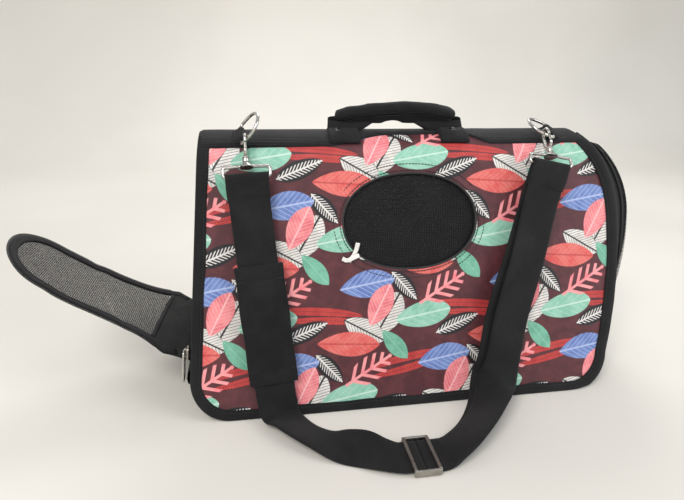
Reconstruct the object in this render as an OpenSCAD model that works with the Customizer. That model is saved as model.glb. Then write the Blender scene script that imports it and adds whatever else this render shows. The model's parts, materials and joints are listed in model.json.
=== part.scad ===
// Soft-sided pet carrier bag: two stiff printed panels lean together under a webbing
// ridge, one end is closed and domed, and the other opens with a zipped mesh door.
// X runs along the bag, Y across it (the front is -Y) and Z up. The origin is the centre
// of the base's underside.

/* [Body] */
// Length of the base
base_len = 430; // [426:1:434]
// Width of the base
base_w = 200; // [196:1:204]
// Height of the shell at its ridge
ridge_h = 262; // [260:1:266]
// Outer radius of the rounded ridge
crown_r = 36; // [32:1:40]
// Thickness of a printed panel
panel_t = 4; // [3:0.5:5]
// Radius of a panel's bottom corners
corner_r = 38; // [30:1:45]
// How far the left edge leans in between the corner and the ridge
left_lean = 18; // [10:1:24]
// Thickness of the gusset fabric
gusset_t = 2.5; // [2:0.5:4]
// Width of the edge binding
bind_w = 10; // [6:1:14]
// Thickness of the edge binding
bind_t = 1.4; // [1:0.2:2]
// Thickness of the ridge webbing
ridge_t = 1.6; // [1:0.2:2]

/* [Window] */
// Half length of the oval window
win_a = 69; // [60:1:75]
// Half height of the oval window
win_b = 48; // [40:1:50]
// Position of the window along the bag
win_x = 4; // [-5:1:10]
// Position of the window up the panel
win_v = 187; // [180:1:190]
// How far the mesh reaches past the window
win_seam = 9; // [6:1:10]
// Thickness of the mesh
mesh_t = 0.8; // [0.6:0.2:1.2]

/* [Base insert] */
// Thickness of the stiffening board
board_t = 4; // [3:0.5:5]
// Thickness of the mat
mat_t = 8; // [6:1:10]

/* [Domed end] */
// How far the closed end bulges
dome_bulge = 40; // [30:1:44]

/* [Door] */
// Height of the door's hinge line above the floor
hinge_z = 50; // [48:1:54]
// Length of the door from hinge to tip
door_len = 202; // [198:1:204]
// Radius of the door's tip
door_tip_r = 46; // [42:1:48]
// Half width of the door at its waist
door_waist = 48; // [46:1:50]
// Half width of the door at its foot
door_foot = 65; // [63:1:68]
// Width of the door's fabric border
door_border_w = 9; // [7:1:11]
// Angle of the open door above the horizontal
door_open = 31; // [25:1:40]

/* [Handle] */
// Left end of the handle
handle_x0 = -74; // [-78:1:-70]
// Right end of the handle
handle_x1 = 68; // [64:1:72]
// Height of the handle above its pivot
handle_rise = 17; // [16:1:22]
// Forward lean of the handle at rest
handle_lean = 30; // [20:1:36]

/* [Strap] */
// Width of the strap
strap_w = 38; // [36:1:38]
// Thickness of the strap
strap_t = 1.6; // [1.2:0.2:1.8]
// Length of the shoulder pad
pad_len = 116; // [110:1:118]
// Width of the shoulder pad
pad_w = 46; // [44:1:48]
// Thickness of the shoulder pad
pad_t = 8; // [6.5:0.5:8]

/* [Metal fittings] */
// Distance of each D-ring's bar from the middle of the bag
ring_x = 158; // [156:1:163]
// Half width of a D-ring
ring_half = 14; // [13:0.5:15]
// Wire radius of a D-ring
ring_wire = 1.4; // [1.3:0.1:1.6]
// Inner radius of a hook's bend
hook_r = 4.4; // [4.2:0.1:4.8]
// Wire radius of a strap loop
loop_wire = 1.6; // [1.3:0.1:1.8]

/* [Hidden] */

print_red = "#7a3a3f";
black_cloth = "#1c1c1e";
black_mesh = "#2a2a2c";
steel = "#b9b9b4";
tag_white = "#e6e4de";
grey_board = "#55504a";
mat_grey = "#8a8680";

fine = 48;
small = 24;
eps = 0.01;
cut = 600;

half_len = base_len / 2;
half_w = base_w / 2;
crown_z = ridge_h - crown_r;
// Lean of the flat panels from the vertical
lean = atan2(half_w, crown_z) - asin(crown_r / norm([half_w, crown_z]));
// Lean of the open end, seen from the front
end_lean = atan2(left_lean, ridge_h - corner_r);

// ---- side outline of the bag, as X and Z ----
right_low = [216, corner_r];
right_mid = [228, 170];
right_sag = 5;
shoulder_r = 130;
shoulder_end = 48;
outline_steps = 8;
over_top = 12;

function arc_points(c, r, a0, a1, n) =
    [for (i = [0:n]) let (a = a0 + (a1 - a0) * i / n) c + r * [cos(a), sin(a)]];

// Centre of the circle through p and q that bulges by s to the right of p to q
function bulge_centre(p, q, s) =
    let (h = norm(q - p) / 2, r = (h * h + s * s) / (2 * s), u = (q - p) / (2 * h))
    (p + q) / 2 - (r - s) * [u[1], -u[0]];
function bulge_radius(p, q, s) = let (h = norm(q - p) / 2) (h * h + s * s) / (2 * s);
function bearing(c, p) = atan2(p[1] - c[1], p[0] - c[0]);

low_c = bulge_centre(right_low, right_mid, right_sag);
low_r = bulge_radius(right_low, right_mid, right_sag);
shoulder_c = right_mid - [shoulder_r, 0];

function left_x(z) = -half_len + (z - corner_r) * tan(end_lean);

function outline(d) = concat(
    arc_points([-half_len + corner_r, corner_r], corner_r - d, 180, 270, outline_steps),
    arc_points([right_low[0] - corner_r, corner_r], corner_r - d, 270, 360, outline_steps),
    arc_points(low_c, low_r - d, bearing(low_c, right_low) + 2, bearing(low_c, right_mid) - 1,
        outline_steps),
    arc_points(shoulder_c, shoulder_r - d, 1, shoulder_end, outline_steps),
    [[shoulder_c[0] + (shoulder_r - d) * cos(shoulder_end) - over_top, ridge_h + over_top],
     [left_x(ridge_h + over_top) + d, ridge_h + over_top]]);

// ---- cross-section of the bag, as Y and Z ----
arch_steps = 14;

function side_y(d, z) = half_w - d / cos(lean) - z * tan(lean);

function arch(d) = concat([[-side_y(d, 0), 0]],
    arc_points([0, crown_z], crown_r - d, 180 - lean, lean, arch_steps),
    [[side_y(d, 0), 0]]);

function reversed(list) = [for (i = [len(list) - 1:-1:0]) list[i]];

// Front half of a skin between two offsets of the arch, from the base to angle a
function half_skin(d0, d1, a) = concat(
    [[-side_y(d0, 0), 0]],
    arc_points([0, crown_z], crown_r - d0, 180 - lean, a, arch_steps),
    reversed(arc_points([0, crown_z], crown_r - d1, 180 - lean, a, arch_steps)),
    [[-side_y(d1, 0), 0]]);

function crown_skin(d0, d1, a0, a1) = concat(
    arc_points([0, crown_z], crown_r - d0, a0, a1, arch_steps),
    reversed(arc_points([0, crown_z], crown_r - d1, a0, a1, arch_steps)));

module along_x(points, x0, x1) {
    translate([x0, 0, 0]) rotate([90, 0, 90]) linear_extrude(x1 - x0) polygon(points);
}

module along_y(points, w) {
    rotate([90, 0, 0]) translate([0, 0, -w]) linear_extrude(2 * w) polygon(points);
}

module outline_ring(d0, d1) {
    difference() {
        along_y(outline(d0), half_w + 10);
        along_y(outline(d1), half_w + 20);
    }
}

module back_side() { mirror([0, 1, 0]) children(); }

// Frame on the front panel's face: x along the bag, y up the slope, z outward
module on_front() { translate([0, -half_w, 0]) rotate([90 - lean, 0, 0]) children(); }

// Frame on the open end: x inward, y across the bag, z up the end, from the hinge line
module on_left_end() {
    translate([left_x(hinge_z), 0, hinge_z]) rotate([0, end_lean, 0]) children();
}

// ---- shell ----
window_steps = 40;
window_power = 0.92;
ridge_gap_angle = 91;
band_angle = 35;

function signed_power(v, p) = sign(v) * pow(abs(v), p);
function oval(a, b) = [for (i = [0:window_steps - 1]) let (t = 360 * i / window_steps)
    [a * signed_power(cos(t), window_power), b * signed_power(sin(t), window_power)]];

module panel_slab() {
    difference() {
        intersection() {
            along_y(outline(0), half_w + 10);
            along_x(half_skin(0, panel_t, ridge_gap_angle), -cut, cut);
        }
        on_front() translate([win_x, win_v, -10]) linear_extrude(20) polygon(oval(win_a, win_b));
    }
}

module front_panel() { color(print_red) panel_slab(); }
module back_panel() { color(print_red) back_side() panel_slab(); }

// Offsets of the webbing over the panels, and of what is sewn on top of it
band_lift = 0.1;
over_band = ridge_t + band_lift + 0.06;

module ridge_webbing() {
    color(black_cloth) intersection() {
        along_y(outline(1), half_w);
        along_x(crown_skin(-ridge_t - band_lift, -band_lift, band_angle, 180 - band_angle),
            -cut, cut);
    }
}

module binding_tape() {
    intersection() {
        outline_ring(0, bind_w);
        along_x(half_skin(-bind_t, 0, 180 - band_angle + 2), -cut, cut);
    }
}

module front_binding() { color(black_cloth) binding_tape(); }
module back_binding() { color(black_cloth) back_side() binding_tape(); }

module window_mesh() {
    on_front() translate([win_x, win_v, -panel_t - mesh_t])
        linear_extrude(mesh_t) polygon(oval(win_a + win_seam, win_b + win_seam));
}

module front_window_mesh() { color(black_mesh) window_mesh(); }
module back_window_mesh() { color(black_mesh) back_side() window_mesh(); }

tag_w = 6;
tag_t = 0.5;
tag_short = 14;
tag_long = 17;

module window_tag() {
    color(tag_white) on_front() translate([win_x - win_a + 18, win_v - win_b + 12, tag_t]) {
        rotate([0, 0, 25]) translate([-tag_short + 2, -tag_w / 2, 0])
            cube([tag_short, tag_w, tag_t]);
        rotate([0, 0, 75]) translate([1.6, -tag_w / 2 - 1, 0])
            cube([tag_long, tag_w - 1, tag_t]);
    }
}

// ---- floor ----
module floor_panel() {
    color(black_cloth) intersection() {
        outline_ring(0, gusset_t);
        along_x(arch(panel_t), -cut, cut);
        translate([-cut / 2, -cut / 2, 0]) cube([cut, cut, corner_r]);
    }
}

flat_x0 = -half_len + corner_r;
flat_x1 = right_low[0] - corner_r;

// Slab on the floor, reaching past its flat stretch at both ends
module insert(z, t, inset, past) {
    w = 2 * (side_y(panel_t, z + t) - inset);
    translate([flat_x0 - past, -w / 2, z]) cube([flat_x1 - flat_x0 + 2 * past, w, t]);
}

module base_board() { color(grey_board) insert(gusset_t, board_t, 2, -0.5); }
module floor_mat() { color(mat_grey) insert(gusset_t + board_t, mat_t, 3, 8); }

// ---- closed, domed end ----
dome_rows = 12;
dome_cols = 8;
dome_power = 0.7;
dome_gap = 0.3;
dome_z0 = corner_r;
dome_z1 = ridge_h - panel_t - 2;

// X of the panels' right edge at height z
function right_edge(z) = z < right_mid[1]
    ? low_c[0] + sqrt(pow(low_r, 2) - pow(z - low_c[1], 2))
    : shoulder_c[0] + sqrt(pow(shoulder_r, 2) - pow(z - shoulder_c[1], 2));
// Half width inside the panels at height z
function inner_y(d, z) = z < crown_z + (crown_r - d) * sin(lean)
    ? side_y(d, z)
    : sqrt(max(1, pow(crown_r - d, 2) - pow(z - crown_z, 2)));
function swell(z) = dome_bulge
    * pow(max(0, sin(180 * (z - dome_z0) / (ridge_h - dome_z0))), dome_power);
function dome_point(i, j, d) = let (
    z = dome_z0 + (dome_z1 - dome_z0) * i / dome_rows,
    s = 2 * j / dome_cols - 1,
    y = inner_y(panel_t + dome_gap, z) * s)
    [right_edge(z) - gusset_t + swell(z) * (1 - s * s) + d, y, z];

function grid_index(i, j, k) = k * (dome_rows + 1) * (dome_cols + 1) + i * (dome_cols + 1) + j;

module right_end_panel() {
    points = concat(
        [for (i = [0:dome_rows], j = [0:dome_cols]) dome_point(i, j, gusset_t)],
        [for (i = [0:dome_rows], j = [0:dome_cols]) dome_point(i, j, 0)]);
    sheet = [for (i = [0:dome_rows - 1], j = [0:dome_cols - 1], k = [0:1], h = [0:1])
        let (a = grid_index(i, j, k), b = grid_index(i, j + 1, k),
            c = grid_index(i + 1, j + 1, k), d = grid_index(i + 1, j, k),
            f = h == 0 ? [a, b, c] : [a, c, d])
        k == 0 ? reversed(f) : f];
    sides = [for (i = [0:dome_rows - 1], e = [0, dome_cols], h = [0:1])
        let (a = grid_index(i, e, 0), b = grid_index(i + 1, e, 0),
            c = grid_index(i + 1, e, 1), d = grid_index(i, e, 1),
            f = h == 0 ? [a, b, c] : [a, c, d])
        e == 0 ? reversed(f) : f];
    caps = [for (j = [0:dome_cols - 1], e = [0, dome_rows], h = [0:1])
        let (a = grid_index(e, j, 0), b = grid_index(e, j + 1, 0),
            c = grid_index(e, j + 1, 1), d = grid_index(e, j, 1),
            f = h == 0 ? [a, b, c] : [a, c, d])
        e == 0 ? f : reversed(f)];
    color(black_cloth) polyhedron(points, concat(sheet, sides, caps));
}

// Closed zip that runs up the front of the dome, over the top and down the back
zip_inset = 0.74;
zip_half = 2.4;
zip_out = 1.6;
zip_thick = 1.8;
zip_steps = 32;
zip_low = 14;
zip_high = 12;
zip_square = 0.35;

function dome_surface(z, s) = [right_edge(z) + swell(z) * (1 - s * s),
    inner_y(panel_t + dome_gap, z) * s, z];
function dome_out(z, s) = unit(cross(dome_surface(z, s + 0.02) - dome_surface(z, s - 0.02),
    dome_surface(z + 1, s) - dome_surface(z - 1, s)));
function zip_z(a) = dome_z0 + zip_low
    + (dome_z1 - zip_high - dome_z0 - zip_low) * pow(sin(a), 0.8);
function zip_s(a) = -zip_inset * signed_power(cos(a), zip_square);
function zip_point(a) = dome_surface(zip_z(a), zip_s(a)) + zip_out * dome_out(zip_z(a), zip_s(a));
// Direction across the zip, lying in the dome's surface
function zip_side(a) = unit(cross(dome_out(zip_z(a), zip_s(a)),
    zip_point(a + 1) - zip_point(a - 1)));

module right_end_zip() {
    color(black_cloth) flat_sweep(
        [for (i = [0:zip_steps]) let (a = 2 + 176 * i / zip_steps) [zip_point(a), zip_side(a)]],
        2 * zip_half, zip_thick);
}

// ---- sweeps ----
function unit(v) = v / norm(v);
function tangent(st, i) = unit(st[min(i + 1, len(st) - 1)][0] - st[max(i - 1, 0)][0]);

// Ring of eight points of a flat band at station i, thickness t and width w
function band_ring(st, i, w, t) = let (
    f = tangent(st, i),
    n = unit(cross(f, st[i][1])),
    s = cross(n, f),
    a = w / 2,
    b = t / 2,
    k = t / 4)
    [for (q = [[a - k, b], [-a + k, b], [-a, b - k], [-a, -b + k],
               [-a + k, -b], [a - k, -b], [a, -b + k], [a, b - k]])
        st[i][0] + s * q[0] + n * q[1]];

// Band through stations of [centre, side direction]
module flat_sweep(st, w, t) {
    n = 8;
    rings = len(st);
    points = [for (i = [0:rings - 1]) each band_ring(st, i, w, t)];
    skin = [for (i = [0:rings - 2], j = [0:n - 1], h = [0:1])
        let (a = i * n + j, b = i * n + (j + 1) % n, c = b + n, d = a + n)
        j < n / 2 ? (h == 0 ? [a, c, b] : [a, d, c]) : (h == 0 ? [a, d, b] : [b, d, c])];
    caps = [[for (j = [0:n - 1]) j], [for (j = [n - 1:-1:0]) (rings - 1) * n + j]];
    polyhedron(points, concat(skin, caps));
}

// Closed ring of wire through planar points, n being the normal of their plane
tube_sides = 12;
module closed_tube(pts, n, r) {
    m = len(pts);
    points = [for (i = [0:m - 1]) let (
        f = unit(pts[(i + 1) % m] - pts[(i + m - 1) % m]), s = cross(n, f))
        each [for (k = [0:tube_sides - 1]) let (a = 360 * k / tube_sides)
            pts[i] + r * (cos(a) * s + sin(a) * n)]];
    skin = [for (i = [0:m - 1], k = [0:tube_sides - 1], h = [0:1])
        let (j = (i + 1) % m, l = (k + 1) % tube_sides,
            a = i * tube_sides + k, b = i * tube_sides + l,
            c = j * tube_sides + l, d = j * tube_sides + k)
        h == 0 ? [a, c, b] : [a, d, c]];
    polyhedron(points, skin);
}

function quarter(cx, cy, r, a0) =
    [for (i = [0:4]) let (a = a0 + 90 * i / 4) [cx + r * cos(a), cy + r * sin(a)]];

// ---- open end ----
tape_t = 1.6;
tape_inner = 13;
chain_d0 = 5;
chain_d1 = 9;
chain_t = 1.8;
sill_t = 5;
sill_gap = 1.8;

module end_arch(d0, d1, x0, x1, z0) {
    intersection() {
        rotate([0, end_lean, 0]) translate([0, 0, -hinge_z])
            difference() {
                along_x(arch(d0), x0, x1);
                along_x(arch(d1), x0 - 1, x1 + 1);
            }
        translate([-cut / 2, -cut / 2, z0 - hinge_z]) cube([cut, cut, cut]);
    }
}

module at_hinge() { translate([left_x(hinge_z), 0, hinge_z]) children(); }

module left_zip_tape() {
    color(black_cloth) at_hinge() end_arch(panel_t, tape_inner, 0, tape_t, hinge_z);
}

module left_zip_chain() {
    color(black_cloth) at_hinge() end_arch(chain_d0, chain_d1, -chain_t, 0, hinge_z + 4);
}

// Strip of fabric between the floor and the door's hinge line
module door_sill() {
    w = side_y(panel_t, hinge_z) - 1;
    color(black_cloth) on_left_end()
        translate([-sill_t, -w, corner_r - hinge_z])
            cube([sill_t + tape_t, 2 * w, hinge_z - corner_r - sill_gap]);
}

// ---- door, drawn closed in the frame of the open end ----
door_x = -4;
door_t = 2.4;
door_flap_top = 46;
door_foot_top = 26;
door_hem = 84;
door_steps = 12;
door_chain_w = 2.6;
door_clear = 0.6;

// Half width of the door at height u, below its round tip
function door_half(u) = u < door_foot_top ? door_foot
    : door_waist + (door_hem - door_waist) * exp(-(u - door_foot_top) / 24) * 0.62;

tip_c = door_len - door_tip_r;

function door_side(d) = [for (u = [door_foot_top + eps:13:tip_c - 18]) [-door_half(u) + d, u]];
function door_outline(d) = let (
    left = concat([[-door_foot + d, door_clear + d], [-door_foot + d, door_foot_top]],
        door_side(d), arc_points([0, tip_c], door_tip_r - d, 172, 90, door_steps)))
    concat(left, [for (p = reversed(left)) if (p[0] < -eps) [-p[0], p[1]]]);

module door_plate(x0, x1, d) {
    translate([x0, 0, 0]) rotate([90, 0, 90]) linear_extrude(x1 - x0) polygon(door_outline(d));
}

module above(u) { translate([-cut / 2, -cut / 2, u]) cube([cut, cut, cut]); }
module below(u) { translate([-cut / 2, -cut / 2, u - cut]) cube([cut, cut, cut]); }

// Swings the closed door about its hinge line to where it rests
door_swing = 180 - door_open - (90 - end_lean);
module open_door() {
    on_left_end() translate([door_x, 0, 0]) rotate([0, -door_swing, 0]) children();
}

module door_border() {
    color(black_cloth) open_door() intersection() {
        difference() {
            door_plate(-door_t / 2, door_t / 2, 0);
            door_plate(-door_t, door_t, door_border_w);
        }
        above(door_flap_top);
    }
}

module door_mesh() {
    color(black_mesh) open_door() intersection() {
        door_plate(-mesh_t / 2, mesh_t / 2, door_border_w);
        above(door_flap_top);
    }
}

module door_base_flap() {
    color(black_cloth) open_door() intersection() {
        door_plate(-door_t / 2, door_t / 2, 0);
        below(door_flap_top);
    }
}

module door_zip_chain() {
    color(black_cloth) open_door() intersection() {
        difference() {
            door_plate(-door_t / 2, door_t / 2, -door_chain_w);
            door_plate(-door_t, door_t, 0);
        }
        above(door_foot_top + 4);
    }
}

// ---- zip slider and its pull ----
slider_up = 8;
slider_w = 9;
slider_h = 13;
slider_t = 3.4;
slider_gap = 0.5;
pull_t = 1.6;
pull_w = 12;
pull_len = 30;
pull_gap = 0.5;
pull_wall = 2;
pull_pin_r = 0.9;

module at_slider() {
    on_left_end() translate([-chain_t - slider_gap,
        -side_y((chain_d0 + chain_d1) / 2, hinge_z + slider_up), slider_up]) children();
}

module zip_slider() {
    color(steel) at_slider() {
        translate([-slider_t, 0, 0]) rotate([90, 0, 90]) linear_extrude(slider_t)
            polygon([[-slider_w / 2, 3], [-slider_w / 2 + 1.5, 0], [slider_w / 2 - 1.5, 0],
                [slider_w / 2, 3], [slider_w / 2, slider_h - 2], [2, slider_h],
                [-2, slider_h], [-slider_w / 2, slider_h - 2]]);
        for (z = [3.4, 9]) translate([-slider_t - 3.2, -1.2, z]) cube([3.2, 2.4, 1.6]);
        translate([-slider_t - 4.8, -1.2, 3.4]) cube([1.6, 2.4, 7.2]);
    }
}

module zip_pull() {
    color(steel) at_slider() translate([-slider_t - 2, 0, 7]) {
        rotate([90, 0, 0]) translate([0, 0, -3.4]) cylinder(r = pull_pin_r, h = 6.8, $fn = small);
        difference() {
            translate([-pull_t / 2, -pull_w / 2, -pull_len]) cube([pull_t, pull_w, pull_len - 5]);
            translate([-pull_t, -pull_w / 2 + pull_wall, -pull_len + pull_wall])
                cube([2 * pull_t, pull_w - 2 * pull_wall, pull_len - 12]);
        }
        for (y = [-3.4, 2.2]) translate([-pull_t / 2, y, -6]) cube([pull_t, 1.2, 6]);
    }
}

// ---- D-rings and their tabs ----
ring_crown_r = 40.9;
// Where each ring sits round the crown and how far its tip points up, left then right
ring_crown_as = [120, 114];
ring_tip_ups = [52, 20];
ring_arm = 12;
tab_bore = 1.8;
tab_r = 3;
tab_w = 16;
tab_t = 1.4;
// How far along its arm each ring carries its hook, left then right
hook_alongs = [5.4, 12];

function at_side(pair, side) = pair[side < 0 ? 0 : 1];
function ring_a(side) = at_side(ring_crown_as, side);
function ring_y(side) = ring_crown_r * cos(ring_a(side));
function ring_z(side) = crown_z + ring_crown_r * sin(ring_a(side));
function ring_dip(side) = ring_a(side) - 90;
function tip_up(side) = at_side(ring_tip_ups, side);

// Frame of a ring: y along its bar, x toward its curved end, side is -1 left and 1 right
module on_ring(side) {
    translate([side * ring_x, ring_y(side), ring_z(side)]) rotate([ring_dip(side), 0, 0])
        mirror([side > 0 ? 1 : 0, 0, 0]) rotate([0, -tip_up(side), 0]) children();
}

ring_bend = 3;
ring_steps = 12;

module d_ring(side) {
    flat = concat(
        quarter(ring_bend, -ring_half + ring_bend, ring_bend, 180),
        [for (i = [0:ring_steps]) let (t = -90 + 180 * i / ring_steps)
            [ring_arm + ring_half * cos(t), ring_half * sin(t)]],
        quarter(ring_bend, ring_half - ring_bend, ring_bend, 90));
    color(steel) on_ring(side)
        closed_tube([for (p = flat) [p[0], p[1], 0]], [0, 0, 1], ring_wire);
}

module ring_tab(side) {
    color(black_cloth) {
        difference() {
            on_ring(side) rotate([90, 0, 0]) translate([0, 0, -9])
                cylinder(r = tab_r, h = 16, $fn = small);
            on_ring(side) rotate([90, 0, 0]) translate([0, 0, -20])
                cylinder(r = tab_bore, h = 40, $fn = small);
        }
        difference() {
            along_x(crown_skin(-over_band - tab_t, -over_band, 66, 140),
                side * ring_x - tab_w / 2, side * ring_x + tab_w / 2);
            on_ring(side) rotate([90, 0, 0]) translate([0, 0, -20])
                cylinder(r = tab_r - 0.2, h = 40, $fn = small);
        }
    }
}

module d_ring_left() { d_ring(-1); }
module d_ring_right() { d_ring(1); }
module ring_tab_left() { ring_tab(-1); }
module ring_tab_right() { ring_tab(1); }

// Point on a ring's front arm where the hook hangs; the strap swings about the line
// through both
function along(side) = at_side(hook_alongs, side);
function arm_y(side) = sqrt(pow(ring_half, 2) - pow(max(0, along(side) - ring_arm), 2));
function swing_x(side) = ring_x - along(side) * cos(tip_up(side));
function swing_y(side) = ring_y(side) - arm_y(side) * cos(ring_dip(side))
    - along(side) * sin(tip_up(side)) * sin(ring_dip(side));
function swing_z(side) = ring_z(side) - arm_y(side) * sin(ring_dip(side))
    + along(side) * sin(tip_up(side)) * cos(ring_dip(side));

// ---- hooks and strap loops ----
// Y and Z that each hook points at, left then right
loop_tops = [[-49, 232], [-52, 236]];
hook_t = 3.4;
hook_wall = 2.2;
hook_drop = 9;
function hook_tilt(side) = let (
    tail = at_side(loop_tops, side) - [swing_y(side), swing_z(side)])
    atan2(-tail[0], -tail[1]);
barrel_r = 3.1;
barrel_len = 4.5;
nose_end = -2.6;
gate_gap = 0.4;
gate_w = 2.2;

// Frame of a hook: origin at the ring's wire, -z down the shank, x along the bag
module on_hook(side) {
    translate([side * swing_x(side), swing_y(side), swing_z(side)])
        rotate([-hook_tilt(side), 0, 0]) children();
}

hook_out = hook_r + hook_wall;

module hook(side) {
    color(steel) on_hook(side) {
        translate([-hook_t / 2, 0, 0]) rotate([90, 0, 90]) linear_extrude(hook_t)
            difference() {
                union() {
                    circle(r = hook_out, $fn = fine);
                    translate([-hook_out, -hook_drop - hook_out])
                        square([2 * hook_out, hook_drop + hook_out]);
                }
                circle(r = hook_r, $fn = fine);
                translate([-hook_r, -hook_drop]) square([2 * hook_r, hook_drop]);
                translate([-hook_out - 1, -hook_drop]) square([hook_wall + 2, hook_drop + nose_end]);
            }
        translate([0, 0, -hook_drop - hook_out - barrel_len + eps])
            cylinder(r = barrel_r, h = barrel_len, $fn = fine);
    }
}

module hook_gate(side) {
    color(steel) on_hook(side)
        translate([-hook_t / 2 + 0.3, -hook_out, -hook_drop + gate_gap])
            cube([hook_t - 0.6, gate_w, hook_drop + nose_end - 2 * gate_gap]);
}

module hook_left() { hook(-1); }
module hook_right() { hook(1); }
module hook_gate_left() { hook_gate(-1); }
module hook_gate_right() { hook_gate(1); }

loop_half = 22;
loop_drop = 10;
loop_gap = 0.5;

// Frame of a strap loop: origin at the foot of the hook's barrel
module on_loop(side, turn) {
    on_hook(side) translate([0, 0, -hook_drop - hook_out - barrel_len - loop_gap])
        rotate([0, turn, 0]) children();
}

loop_bend = 2.2;
cone_h = 2.6;

module strap_loop(side, turn) {
    top = -loop_wire - 2;
    mid = top - loop_drop;
    flat = concat(
        quarter(-loop_half + loop_bend, mid + loop_bend, loop_bend, 180),
        quarter(loop_half - loop_bend, mid + loop_bend, loop_bend, 270),
        quarter(loop_half - loop_bend, top - loop_bend, loop_bend, 0),
        quarter(-loop_half + loop_bend, top - loop_bend, loop_bend, 90));
    color(steel) on_loop(side, turn) {
        translate([0, 0, top]) cylinder(r1 = 4.6, r2 = 3, h = -top, $fn = fine);
        closed_tube([for (p = flat) [p[0], 0, p[1]]], [0, -1, 0], loop_wire);
    }
}

left_turn = -2.5;
right_turn = 10;
module strap_loop_left() { strap_loop(-1, left_turn); }
module strap_loop_right() { strap_loop(1, right_turn); }

// ---- handle ----
pivot_z = ridge_h + 12;
flap_half = 5;
roll_half = 8;
flap_low = -4.5;
handle_mid = (handle_x0 + handle_x1) / 2;
handle_half = (handle_x1 - handle_x0) / 2;
handle_arc_steps = 14;
gap_half = 34;
gap_rise = 3;
crease_drop = 12;

// Height of the handle's top line at x, counted from the pivot
function handle_top(x) = handle_rise
    - 11 * pow(abs(x - handle_mid) / handle_half, 4);

module on_handle() { translate([0, 0, pivot_z]) rotate([handle_lean, 0, 0]) children(); }

module across_y(points, w) {
    rotate([90, 0, 0]) translate([0, 0, -w]) linear_extrude(2 * w) polygon(points);
}

function handle_xs(inset) = [for (i = [0:handle_arc_steps])
    handle_x0 + inset + (2 * handle_half - 2 * inset) * i / handle_arc_steps];

roll_inset = 9;
roll_lift = 0.1;

module handle_roll() {
    xs = handle_xs(roll_inset);
    color(black_cloth) on_handle() across_y(concat(
        [for (x = xs) [x, handle_top(x)]],
        reversed([for (x = xs) [x, handle_top(x) - crease_drop + roll_lift]])), roll_half);
}

module handle_flap() {
    xs = handle_xs(0);
    inner = arc_points([handle_mid - 8, -70], 70 + gap_rise, 62, 118, handle_arc_steps);
    color(black_cloth) on_handle() across_y(concat(
        [[handle_x0, flap_low]],
        [for (x = xs) [x, max(handle_top(x) - crease_drop, flap_low + 2)]],
        [[handle_x1, flap_low]],
        [for (p = inner) if (p[1] > flap_low) p]), flap_half);
}

end_t = 2.4;
end_angle0 = 92;
end_angle1 = 132;
end_len = 30;
end_xs = [handle_x0, handle_x1 - end_len];
end_skin = over_band;

module handle_end(x) {
    color(black_cloth) difference() {
        along_x(crown_skin(-end_skin - end_t, -end_skin, end_angle0, end_angle1), x, x + end_len);
        rivet_axis(x) translate([0, 0, -2]) cylinder(r = rivet_r + 0.02, h = 20, $fn = small);
    }
}

rivet_r = 2;
rivet_head = 4.4;
rivet_a = 108;
rivet_at = [9, end_len - 14];

// Frame of a rivet: z outward from the ridge's webbing
module rivet_axis(x) {
    dx = x < handle_mid ? rivet_at[0] : rivet_at[1];
    translate([x + dx, 0, crown_z]) rotate([rivet_a - 90, 0, 0])
        translate([0, 0, crown_r + end_skin]) children();
}

module handle_rivets() {
    color(steel) for (x = end_xs) rivet_axis(x) {
        cylinder(r = rivet_r, h = end_t + 0.1, $fn = small);
        translate([0, 0, end_t + 0.1]) cylinder(r1 = rivet_head, r2 = 2.6, h = 1.4, $fn = small);
    }
}

module handle_end_left() { handle_end(end_xs[0]); }
module handle_end_right() { handle_end(end_xs[1]); }

// ---- strap ----
// Stations of the strap: centre, then the direction from its outer to its inner edge
left_route = [
    [[-154.2, -51, 222], [1, 0, 0.06]],
    [[-149, -65, 164], [1, 0, 0.09]],
    [[-142.5, -81.5, 97], [1, 0, 0.09]],
    [[-136, -97.5, 31], [1, 0, 0.09]],
    [[-134, -102, 17], [1, -0.05, 0.02]],
    [[-131, -108, 9.5], [0.98, 0.15, -0.1]],
    [[-125, -116, 7.3], [0.88, 0.42, -0.22]],
    [[-117, -127, 7], [0.75, 0.6, -0.28]],
    [[-106, -139, 6.6], [0.55, 0.8, -0.26]],
    [[-92, -149, 5], [0.38, 0.92, -0.1]],
    [[-77, -157, 5.6], [0.28, 0.94, 0.2]],
    [[-62, -164, 6.8], [0.25, 0.92, 0.28]],
    [[-48, -171, 5.4], [0.22, 0.97, 0.1]],
    [[-36, -176, 4.4], [0.1, 1, 0]],
    [[-30, -177, 4.2], [0, 1, 0]],
    [[-14, -177, 4.2], [0, 1, 0]]];
right_route = [
    [[-13.4, -177, 4.2], [0, 1, 0]],
    [[4, -177, 4.2], [0, 1, 0]],
    [[14, -176, 6.6], [-0.15, 0.98, -0.12]],
    [[28, -170, 10.9], [-0.35, 0.88, -0.3]],
    [[44, -159, 14.7], [-0.5, 0.74, -0.42]],
    [[59, -145, 17.4], [-0.65, 0.58, -0.44]],
    [[72, -130, 20.8], [-0.78, 0.4, -0.38]],
    [[82, -116, 26.5], [-0.88, 0.22, -0.2]],
    [[89, -108, 35], [-0.95, 0.08, 0.1]],
    [[95, -100.5, 50], [-0.96, 0.02, 0.25]],
    [[103.5, -90.5, 92], [-0.96, 0, 0.28]],
    [[119.5, -77, 142], [-0.96, 0, 0.28]],
    [[132, -63.5, 190], [-0.97, 0.02, 0.25]],
    [[142.2, -55.4, 228.2], [-0.975, 0.05, 0.2]]];
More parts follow.
